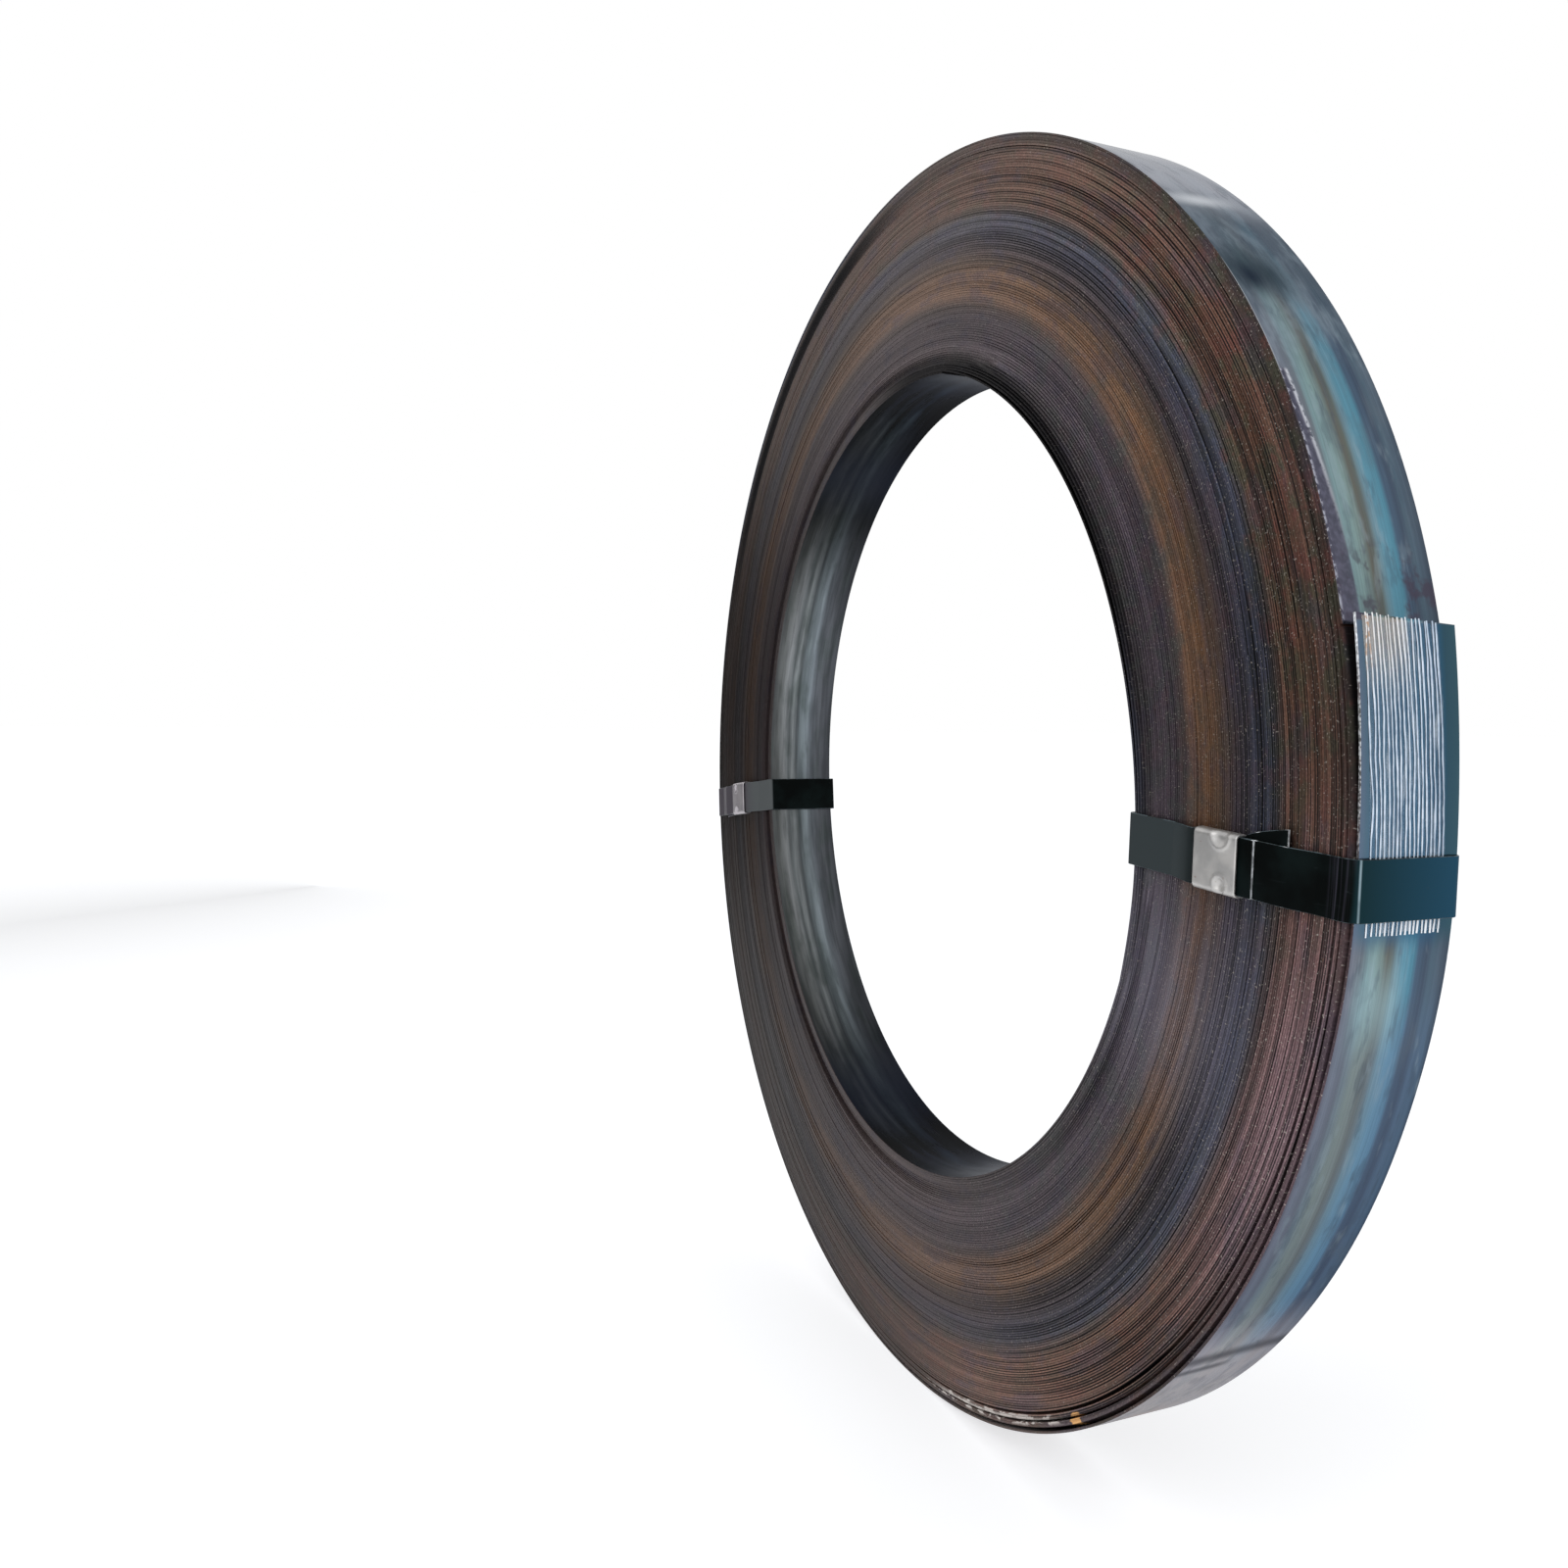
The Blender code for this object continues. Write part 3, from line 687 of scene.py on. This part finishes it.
def flatFinish():
    look = Finish("bluedStrapFlats")
    across = look.across
    behind = look.angle.fade(-170.0, -120.0)
    flatBands(look, across, behind)
    clouds = look.roundNoise(9.0, look.y, 120.0, 3.0, 0.6, shift=5.0)
    look.wash("566069", clouds.between(0.50, 0.72) * 0.40)
    patch = look.roundNoise(16.0, look.y, 260.0, 3.0, 0.6, shift=90.0).between(0.54, 0.66)
    look.wash("434e5a", patch * 0.35)
    bright = look.roundNoise(12.0, look.y, 200.0, 3.0, 0.6, shift=110.0).between(0.56, 0.70)
    look.wash("8797a0", bright * 0.30)
    # a dark patch round 37 degrees, with its darkest part near the front edge
    look.wash("323f45", look.angle.bump(37.2, 4.4) * across.fade(0.45, 0.80) * 0.80)
    look.wash("222834", look.angle.bump(36.2, 2.2) * look.y.bump(-0.0086, 0.0072) * 0.85)
    # painted reflection: two dark lines across the strap
    slantedAngle = look.angle - look.y * 20
    reflectedLines = slantedAngle.bump(-41.4, 1.3) * 0.75
    reflectedLines = reflectedLines.larger(slantedAngle.bump(-43.2, 0.8) * across.fade(0.40, 0.62) * 0.75)
    fine = look.roundNoise(3.0, look.y, 2600.0, 2.0, 0.6, shift=21.0)
    look.dim((0.70 + fine * 0.5) * (1 - reflectedLines) * flatGain(look, across, behind))
    # painted highlight: a thin white streak slanting across the strap, a lamp's reflection
    ray = (look.angle - look.y * 46).bump(46.6, 1.5) * look.y.bump(-0.005, 0.020)
    look.wash("e6eaee", ray)
    frontMargin(look, fine)
    # under the tape the strap keeps its deep blue
    taped = look.angle.window(-9.0, -7.0, 10.55, 10.65)
    deep = look.ramp(
        across,
        [
            (0.00, "606d83"), (0.10, "4a6678"), (0.16, "3c5f7a"), (0.50, "335b78"),
            (0.84, "2b526c"), (0.90, "2f4d5b"), (1.00, "365460"),
        ],
    )
    look.wash(deep, taped * 0.9)
    height = fine * 0.6 + look.roundNoise(6.0, look.y, 500.0, 2.0) * 0.4
    return look.apply(
        Roughness=0.13 + clouds * 0.16 + look.angle.fade(-64.0, -44.0) * (1 - behind) * 0.25,
        Metallic=0.92,
        Specular_Tint=(0.42, 0.43, 0.46),
        Normal=look.relief(height, 0.00002, 0.4),
    )


def boreFinish():
    look = Finish("bluedStrapBore")
    across = look.across
    sway = (look.roundNoise(2.0, look.y, 60.0, 2.0) - 0.5) * 0.10
    streaks = look.ramp(
        across + sway,
        [
            (0.00, "4a4c4d"), (0.10, "5d6060"), (0.20, "787b7d"), (0.28, "5c6163"),
            (0.34, "7d8284"), (0.42, "4d5255"), (0.50, "6b7478"), (0.58, "7b848a"),
            (0.66, "5b6066"), (0.78, "52555a"), (1.00, "404247"),
        ],
    )
    # painted light: the bore is painted lighter round its left side, away from the strap's end, so
    # its light streaks show there
    turned = (look.angle + 360).maths("MODULO", 360.0)
    lit = turned.window(128.0, 156.0, 206.0, 250.0)
    lit = lit * (1 + turned.bump(158.0, 34.0) * 0.35)
    cloud = look.roundNoise(7.0, look.y, 140.0, 3.0, 0.6)
    look.colour = streaks
    look.wash("39443f", cloud.between(0.45, 0.7) * 0.4)
    fine = look.roundNoise(4.0, look.y, 2400.0, 2.0, 0.6, shift=21.0)
    glint = look.roundNoise(5.0, look.y, 420.0, 2.0, 0.5, shift=41.0).between(0.35, 0.65)
    look.dim((0.16 + lit * 0.62) * (0.55 + fine * 0.5 + glint * 0.4))
    navy = turned.bump(122.0, 12.0).larger(turned.bump(248.0, 18.0))
    look.wash("20242f", navy * 0.5)
    return look.apply(
        Roughness=0.22 + cloud * 0.16,
        Metallic=0.9,
        Specular_Tint=(0.34, 0.35, 0.38),
        Normal=look.relief(fine, 0.00003, 0.5),
    )


print("coil: turns")
edgeSteel = edgeFinish()
flatSteel = flatFinish()
boreSteel = boreFinish()
middleTurned = 360 * (coil["rounds"] // 2)
windingMesh("windingInner", 360.0, middleTurned, [edgeSteel])
windingMesh("windingOuter", middleTurned, lastTurned - 360, [edgeSteel])

outerDegrees = np.arange(coil["endAngle"] - 360, coil["endAngle"] + 0.001, 1.0)
settled = 1 - ease((tail["setBackTo"] - outerDegrees) / tail["setBackFade"])
strapRibbon(
    "outerTurn", outerTurnInner(outerDegrees), outerDegrees,
    sideways(lastTurned - coil["endAngle"] + outerDegrees) - tail["setBack"] * settled,
    coil["thickness"], [edgeSteel, flatSteel], ["strap_coil"],
)
innerTurned = np.arange(0.0, 360.001, 1.0)
innerDegrees = coil["startAngle"] + innerTurned
looseDepth = hangIn(innerDegrees, innerTurn["looseFrom"], innerTurn["looseTo"], innerTurn["depth"])
strapRibbon(
    "innerTurn", strapRadius(innerTurned) - looseDepth, innerDegrees,
    sideways(innerTurned) - innerTurn["setBack"] * ease(looseDepth / 0.003),
    coil["thickness"] * 0.98, [edgeSteel, boreSteel], ["strap_coil"],
)


def rounded(corners, steps=8):
    # a line through (along, height, bend radius) corners with an arc at each
    points = [Vector(corners[0][:2])]
    for before, corner, after in zip(corners, corners[1:], corners[2:]):
        here = Vector(corner[:2])
        towards = (Vector(before[:2]) - here).normalized()
        onwards = (Vector(after[:2]) - here).normalized()
        half = towards.angle(onwards) / 2
        if half > math.radians(89.8):
            points.append(here)
            continue
        centre = here + (towards + onwards).normalized() * (corner[2] / math.sin(half))
        first = here + towards * (corner[2] / math.tan(half)) - centre
        last = here + onwards * (corner[2] / math.tan(half)) - centre
        sweep = math.atan2(first.x * last.y - first.y * last.x, first.dot(last))
        for step in range(steps + 1):
            turn = sweep * step / steps
            points.append(
                centre + Vector((
                    first.x * math.cos(turn) - first.y * math.sin(turn),
                    first.x * math.sin(turn) + first.y * math.cos(turn),
                ))
            )
    points.append(Vector(corners[-1][:2]))
    return points


def tieSpace(angle, offset):
    # from (along, aside, out of the front) beside a radius at that angle to the world
    turn = math.radians(angle)
    outward = Vector((math.cos(turn), 0, math.sin(turn)))
    aside = Vector((-math.sin(turn), 0, math.cos(turn)))
    start = Vector((0, 0, coil["height"])) + aside * offset

    def place(along, sideways, out):
        return start + outward * along + aside * sideways + Vector((0, -1, 0)) * out

    return place


def sweptStrap(name, path, width, thickness, place, materials, replaces):
    # path points are (along, out, aside); the section is a flat bar with eased corners
    bevel = 0.00012
    half = width / 2
    deep = thickness / 2
    section = [
        (-half, -deep + bevel), (-half + bevel, -deep),
        (half - bevel, -deep), (half, -deep + bevel),
        (half, deep - bevel), (half - bevel, deep),
        (-half + bevel, deep), (-half, deep - bevel),
    ]
    points = []
    for k, (along, out, aside) in enumerate(path):
        before = path[max(k - 1, 0)]
        after = path[min(k + 1, len(path) - 1)]
        run = Vector((after[0] - before[0], after[1] - before[1])).normalized()
        normal = Vector((-run.y, run.x))
        for across, up in section:
            points.append(place(along + normal.x * up, aside + across, out + normal.y * up))
    slots = [0 if j in (1, 5) else 1 for j in range(len(section))] * (len(path) - 1) + [1, 1]
    return makePiece(
        name, points, tubeFaces(len(path), len(section)), materials, replaces, slots, sharp=30
    )


tie = {
    "width": 0.0151,
    "thickness": 0.0006,
    "layer": 0.00075,  # from one strap to the next inside the seal
    "faceLine": 0.01697,  # of the strap on the coil's front, from the coil's middle
    "foldedLine": 0.01797,  # the same for the folded end
    "backLine": 0.0172,
    "sealAlong": 0.1900,  # out along the radius
    "sealLength": 0.0166,
    "foldReach": 0.0030,  # past the seal towards the bore
    "topReach": 0.0050,  # past the seal towards the rim, as the next one is
    "foldedReach": 0.0157,
    "slope": 0.0095,  # length over which a strap comes down to the coil
    "foldBend": 0.00036,
    "sheet": 0.0006,  # of the seal
}


def tiePath(rimLine, boreLine, cornerBend, skew):
    sealStart = tie["sealAlong"] - tie["sealLength"] / 2
    sealEnd = tie["sealAlong"] + tie["sealLength"] / 2
    folded = tie["foldedLine"]
    lower = folded + tie["layer"]
    upper = lower + tie["layer"]
    fold = sealStart - tie["foldReach"]
    foldedEnd = sealEnd + tie["foldedReach"]
    overFold = fold - tie["thickness"] - 0.0003
    face = tie["faceLine"]
    back = -tie["backLine"]
    line = rounded(
        [
            (sealEnd, folded),
            (fold, folded, tie["foldBend"]),
            (fold, lower, tie["foldBend"]),
            (foldedEnd + 0.0003, lower, 0.004),
            (foldedEnd + tie["slope"], face + 0.0001, 0.004),
            (rimLine, face, cornerBend),
            (rimLine, back, 0.0022),
            (boreLine, back, 0.0015),
            (boreLine, face, 0.0015),
            (overFold - tie["slope"], face, 0.003),
            (overFold, upper, 0.003),
            (sealEnd + tie["topReach"], upper),
        ]
    )
    skewed = [
        (sealEnd + tie["foldedReach"] * share, folded, skew * share**0.6)
        for share in (1.0, 0.85, 0.7, 0.55, 0.4, 0.25, 0.12, 0.04)
    ]
    return skewed + [(p.x, p.y, 0.0) for p in line]


def bindingFinish():
    look = Finish("blackBindingSteel")
    cloud = look.noise(look.place, 60.0, 3.0, 0.6)
    scratch = look.noise(look.vector(look.x * 40.0, look.y * 900.0, look.z * 900.0), 1.0, 2.0)
    look.colour = mixed(cloud.between(0.35, 0.7), "060808", "0c1313")
    # painted reflection: over the coil's rim the strap is painted teal blue
    onRim = (look.radius - 0.2335).between(0.0, 0.0014)
    look.wash(mixed((look.y + 0.016) * 31.0, "142b30", "20455a"), onRim * 0.9)
    # painted sheen: the strap's face is painted lighter grey towards the bore, and lilac grey on
    # the left tie
    inward = look.radius.fade(0.170, 0.186)
    onFace = look.y.fade(-0.0166, -0.0156)
    look.wash("32383a", inward * onFace * 0.85)
    farSide = look.cosine.fade(-0.6, 0.0)
    look.wash(mixed(inward, "4b474d", "4e5152"), farSide * onFace * 0.8)
    look.wash("3a4244", scratch.between(0.66, 0.8) * 0.2)
    # painted sheen in lilac streaks where the strap bends round the coil's corner, and a painted
    # highlight along its front edge on the rim
    streaks = look.noise(look.vector(look.radius * 1500.0, look.z * 30.0, look.y * 30.0), 1.0, 1.0)
    rightTie = look.cosine.between(0.5, 0.6)
    bend = look.radius.bump(0.2312, 0.0052) * rightTie
    look.wash("5d5a6a", bend * streaks.between(0.45, 0.72) * 0.3)
    # painted highlight: a thin bright line along the strap's front edge where it runs over the rim
    rubbed = look.y.bump(-0.0150, 0.0004) * look.radius.between(0.2335, 0.2341) * rightTie
    look.wash("8da2ab", rubbed * cloud.between(0.30, 0.60) * 0.8)
    return look.apply(
        Roughness=0.26 + cloud * 0.10,
        Specular_IOR_Level=0.015,
        Normal=look.relief(cloud, 0.0002, 0.10),
    )


def bindingEdgeFinish():
    # the paint is off along the slit edges, and more so at the cut ends
    look = Finish("wornBindingEdges")
    worn = look.noise(look.place, 260.0, 3.0, 0.7).between(0.42, 0.58)
    cut = look.radius.bump(0.2033, 0.0011).larger(look.radius.bump(0.2140, 0.0012))
    look.colour = mixed(worn * 0.7, "141b1d", "56646b")
    look.wash("dfe4e8", cut * (worn * 0.6 + 0.4))
    return look.apply(Roughness=0.36, Metallic=0.3, Specular_IOR_Level=0.2)


def zincFinish():
    look = Finish("zincSeal")
    cloud = look.noise(look.place, 160.0, 3.0, 0.5)
    fine = look.noise(look.place, 1400.0, 2.0)
    look.colour = mixed(cloud.between(0.3, 0.7), "bfbdba", "a6a5a4")
    # painted shade: the left seal is painted a darker lilac grey
    farSide = look.cosine.fade(-0.6, 0.0)
    look.wash("a59da8", farSide * 0.5)
    stain = look.noise(look.place, 420.0, 3.0, 0.6).between(0.66, 0.74)
    look.wash("7a5138", stain * 0.7)
    return look.apply(
        Roughness=0.34 + fine * 0.14,
        Metallic=0.8,
        Normal=look.relief(fine * 0.5 + cloud * 0.5, 0.0002, 0.25),
    )


dents = [
    # along the seal, in from its edge, reach, depth
    {"side": 1, "along": 0.0020, "inside": 0.0004, "reach": 0.0027, "depth": 0.0009},
    {"side": -1, "along": 0.0026, "inside": 0.0020, "reach": 0.0019, "depth": 0.0009},
]
# the metal rises in a brink round each dent, and the whole front bulges a little
crimp = {"brink": 0.00022, "brinkAt": 1.35, "brinkReach": 0.0006, "bulge": 0.00016}
sealLap = 0.0055  # width of the sheet that is turned in behind


def sealPiece(name, place, material, replaces):
    # a sleeve of sheet zinc, closed over the front, with a crimp pressed in near its outer end
    halfLength = tie["sealLength"] / 2
    halfWidth = tie["width"] / 2 + 0.0001 + tie["sheet"] / 2
    low = tie["foldedLine"] - 0.0009
    high = tie["foldedLine"] + 2 * tie["layer"] + 0.0011
    outline = rounded(
        [
            (halfWidth - sealLap, low),
            (halfWidth, low, 0.0010),
            (halfWidth, high, 0.0012),
            (-halfWidth, high, 0.0012),
            (-halfWidth, low, 0.0010),
            (sealLap - halfWidth, low),
        ],
        6,
    )
    fine = [outline[0]]
    for a, b in zip(outline, outline[1:]):  # long flats get points of their own for the dents
        cuts = max(1, int((b - a).length / 0.0004))
        fine += [a.lerp(b, (k + 1) / cuts) for k in range(cuts)]
    rows = 46
    points = []
    for i in range(rows):
        along = halfLength * (2 * i / (rows - 1) - 1)
        for p in fine:
            across, out = p
            front = float(ease((out - low) / (high - low)))
            for dent in dents:
                inside = halfWidth - dent["inside"] - dent["side"] * across
                away = math.hypot(along - dent["along"], inside)
                out -= math.exp(-((away / dent["reach"]) ** 4)) * dent["depth"] * front
                brink = (away - crimp["brinkAt"] * dent["reach"]) / crimp["brinkReach"]
                out += crimp["brink"] * math.exp(-(brink**2)) * front
            out += crimp["bulge"] * math.cos(math.pi * along / halfLength / 2) * front
            points.append(place(tie["sealAlong"] + along, across, out))
    faces = bandFaces(rows, len(fine), closedColumns=False)
    piece = makePiece(name, points, faces, [material], replaces, sharp=60)
    shell = piece.modifiers.new("sheet", "SOLIDIFY")
    shell.thickness = tie["sheet"]
    shell.offset = 0.0
    shell.use_even_offset = True
    return piece


print("binding straps and seals")
blackSteel = bindingFinish()
wornSteel = bindingEdgeFinish()
zinc = zincFinish()
ties = {
    "right": {
        "angle": -3.6, "offset": -0.0053, "rimLine": 0.23490, "boreLine": 0.14740,
        "bend": 0.0040, "skew": 0.0042,
    },
    "left": {
        "angle": -173.8, "offset": 0.0016, "rimLine": 0.23455, "boreLine": 0.15140,
        "bend": 0.0030, "skew": 0.0012,
    },
}
for side, at in ties.items():
    place = tieSpace(at["angle"], at["offset"])
    path = tiePath(at["rimLine"], at["boreLine"], at["bend"], at["skew"])
    sweptStrap(
        "bindingStrap" + side.title(), path, tie["width"], tie["thickness"], place,
        [blackSteel, wornSteel], ["binding_strap_" + side],
    )
    sealPiece("seal" + side.title(), place, zinc, ["seal_" + side])


tape = {
    "front": (-0.0114, -0.0134),  # at its lower and its upper end
    "back": (0.0127, 0.0108),
    "end": -7.6,
    "strands": 18,
    "strandWidth": 0.00044,
    "strandHeight": 0.00016,
    "film": 0.00008,
    "filmLift": 0.00004,  # off the strap, as the strands' own lift
    "strandLift": 0.00009,
}


def tapeFinishes():
    film = Finish("clearTapeFilm")
    haze = film.roundNoise(9.0, film.y, 260.0, 4.0, 0.6, shift=8.0).between(0.50, 0.68)
    worn = film.angle.between(6.0, 10.0) * film.y.fade(-0.004, 0.004)
    film.colour = mixed(worn * 0.8, "cfdbe6", "dccbb8")
    film.apply(Roughness=0.35, Alpha=0.02 + haze * 0.18 + worn * 0.14)
    strand = Finish("glassFilament")
    corner = strand.angle.between(6.6, 9.6) * strand.y.fade(-0.0118, -0.0102)
    cloud = strand.noise(strand.place, 500.0, 2.0)
    strand.colour = mixed(cloud.between(0.3, 0.8) * 0.6, "cdd8e5", "7b93ae")
    strand.wash("7389a3", strand.y.between(0.003, 0.012) * 0.35)
    cream = strand.angle.between(5.0, 9.5) * strand.y.fade(-0.004, 0.006)
    strand.wash("e6dccf", cream * 0.5)
    strand.wash("f4f7fa", strand.angle.fade(-6.6, -6.0) * 0.7)
    soil = strand.noise(strand.place, 700.0, 3.0).between(0.42, 0.55)
    strand.wash("a9784a", corner * soil * 0.85)
    strand.apply(Roughness=0.45)
    return film.material, strand.material


def tapeEdge(side, degrees):
    # the tape lies a little askew
    return np.interp(degrees, [tape["end"], coil["endAngle"]], tape[side])


def tapePieces():
    filmLook, strandLook = tapeFinishes()
    random = np.random.default_rng(5)
    degrees = np.linspace(tape["end"] + 0.15, coil["endAngle"] - 0.1, 60)
    base = outerTurnInner(degrees) + coil["thickness"] + tape["filmLift"]
    points = []
    for radius, angle in zip(base, degrees):
        depths = np.linspace(tapeEdge("front", angle), tapeEdge("back", angle), 5)
        for out in (0.0, tape["film"]):
            across = depths if out == 0 else depths[::-1]
            points.extend(coilPoint(radius + out, askew(angle, d), d) for d in across)
    faces = tubeFaces(len(degrees), 10, flip=True)
    makePiece("tapeFilm", points, faces, [filmLook], ["filament_tape"])
    allPoints = []
    allFaces = []
    section = [(-0.5, 0.0), (-0.3, 0.8), (0.0, 1.0), (0.3, 0.8), (0.5, 0.0)]
    for k in range(tape["strands"]):
        share = (k + 0.5) / tape["strands"]
        first = tape["end"] - random.uniform(0.0, 0.07)
        last = coil["endAngle"] + random.uniform(-0.06, 0.10)
        along = np.linspace(first, last, 90)
        middle = tapeEdge("front", along) * (1 - share) + tapeEdge("back", along) * share
        wobble = (0.00012 + 0.00030 * (k == 0)) * smoothNoise(along - first, 2.6, 40 + k)
        wobble += 0.00005 * smoothNoise(along - first, 0.8, 80 + k)
        fuse = ease((along - 4.0) / 6.0) * 0.00020 * random.normal()
        width = tape["strandWidth"] * (0.8 + 0.25 * random.random()) * (
            1 + 0.25 * smoothNoise(along - first, 1.7, 120 + k)
        ) * (1 + 0.35 * ease((-6.3 - along) / 0.3))
        radius = outerTurnInner(np.minimum(along, coil["endAngle"])) + coil["thickness"]
        radius += tape["strandLift"]
        start = len(allPoints)
        for r, a, w, d in zip(radius, along, width, middle + wobble + fuse):
            for across, out in section:
                level = r + out * tape["strandHeight"]
                allPoints.append(coilPoint(level, askew(a, d), d + across * w))
        strandFaces = tubeFaces(len(along), len(section), flip=True)
        allFaces += [tuple(start + v for v in face) for face in strandFaces]
    makePiece(
        "tapeFilaments", allPoints, allFaces, [strandLook], ["filament_tape"]
    )


print("tape")
tapePieces()


print("studio")
studio = {
    "middle": (0, 0, 0.25),  # what the lamp and the card face
    "lampPlace": (0.9, -1.6, 1.5),
    "lampSize": 1.2,
    "lampPower": 18,
    "cardPlace": (-1.15, -0.85, 0.30),
    "cardSize": (1.7, 0.62),
    "floorSize": (60, 60),
    "world": 1.0,
}
camera = {
    "place": (0.46442, -0.24781, 0.25239),
    "yaw": 65.6045,
    "pitch": 0.4925,
    "roll": 0.5400,
    "lens": 30.172,
    "shift": (-0.04802, -0.04665),
}


def makeCamera():
    made = linked("camera", bpy.data.cameras.new("camera"))
    made.data.lens = camera["lens"]
    made.data.sensor_width = 36
    made.data.shift_x, made.data.shift_y = camera["shift"]
    made.data.clip_start = 0.01
    turn = (
        Matrix.Rotation(math.radians(camera["yaw"]), 4, "Z")
        @ Matrix.Rotation(math.radians(90 + camera["pitch"]), 4, "X")
        @ Matrix.Rotation(math.radians(camera["roll"]), 4, "Z")
    )
    made.matrix_world = Matrix.Translation(camera["place"]) @ turn
    bpy.context.scene.camera = made


def sheet(name, size, materialName, look, place=(0, 0, 0), facing=None):
    # a flat rectangle of the set in one plain material
    x, y = size[0] / 2, size[1] / 2
    mesh = bpy.data.meshes.new(name)
    mesh.from_pydata([(-x, -y, 0), (x, -y, 0), (x, y, 0), (-x, y, 0)], [], [(0, 1, 2, 3)])
    material = bpy.data.materials.new(materialName)
    material.use_nodes = True
    for socket, value in look.items():
        material.node_tree.nodes["Principled BSDF"].inputs[socket].default_value = value
    mesh.materials.append(material)
    made = linked(name, mesh, place, facing)
    return made


def makeFloor():
    look = {
        "Base Color": (0.5, 0.51, 0.53, 1),
        "Roughness": 0.9,
        "Specular IOR Level": 0.0,
        "Emission Color": (1, 1, 1, 1),
        "Emission Strength": 0.55,
    }
    sheet("floor", studio["floorSize"], "paleFloor", look)


def makeCard():
    # a black card beside the set, which the shiny steel sees and the camera doesn't
    look = {"Base Color": (0.015, 0.014, 0.014, 1), "Roughness": 0.9}
    size, place = studio["cardSize"], studio["cardPlace"]
    card = sheet("leftFlag", size, "blackCard", look, place, studio["middle"])
    card.visible_camera = False
    card.visible_shadow = False


def makeLamp():
    data = bpy.data.lights.new("keyLight", "AREA")
    data.shape = "RECTANGLE"
    data.size = data.size_y = studio["lampSize"]
    data.energy = studio["lampPower"]
    linked("keyLight", data, studio["lampPlace"], studio["middle"])


world = bpy.context.scene.world or bpy.data.worlds.new("studio")
bpy.context.scene.world = world
world.use_nodes = True
background = world.node_tree.nodes["Background"]
background.inputs["Color"].default_value = (1, 1, 1, 1)
background.inputs["Strength"].default_value = studio["world"]
bpy.context.scene.view_settings.view_transform = "Standard"
makeFloor()
makeCamera()
makeLamp()
makeCard()
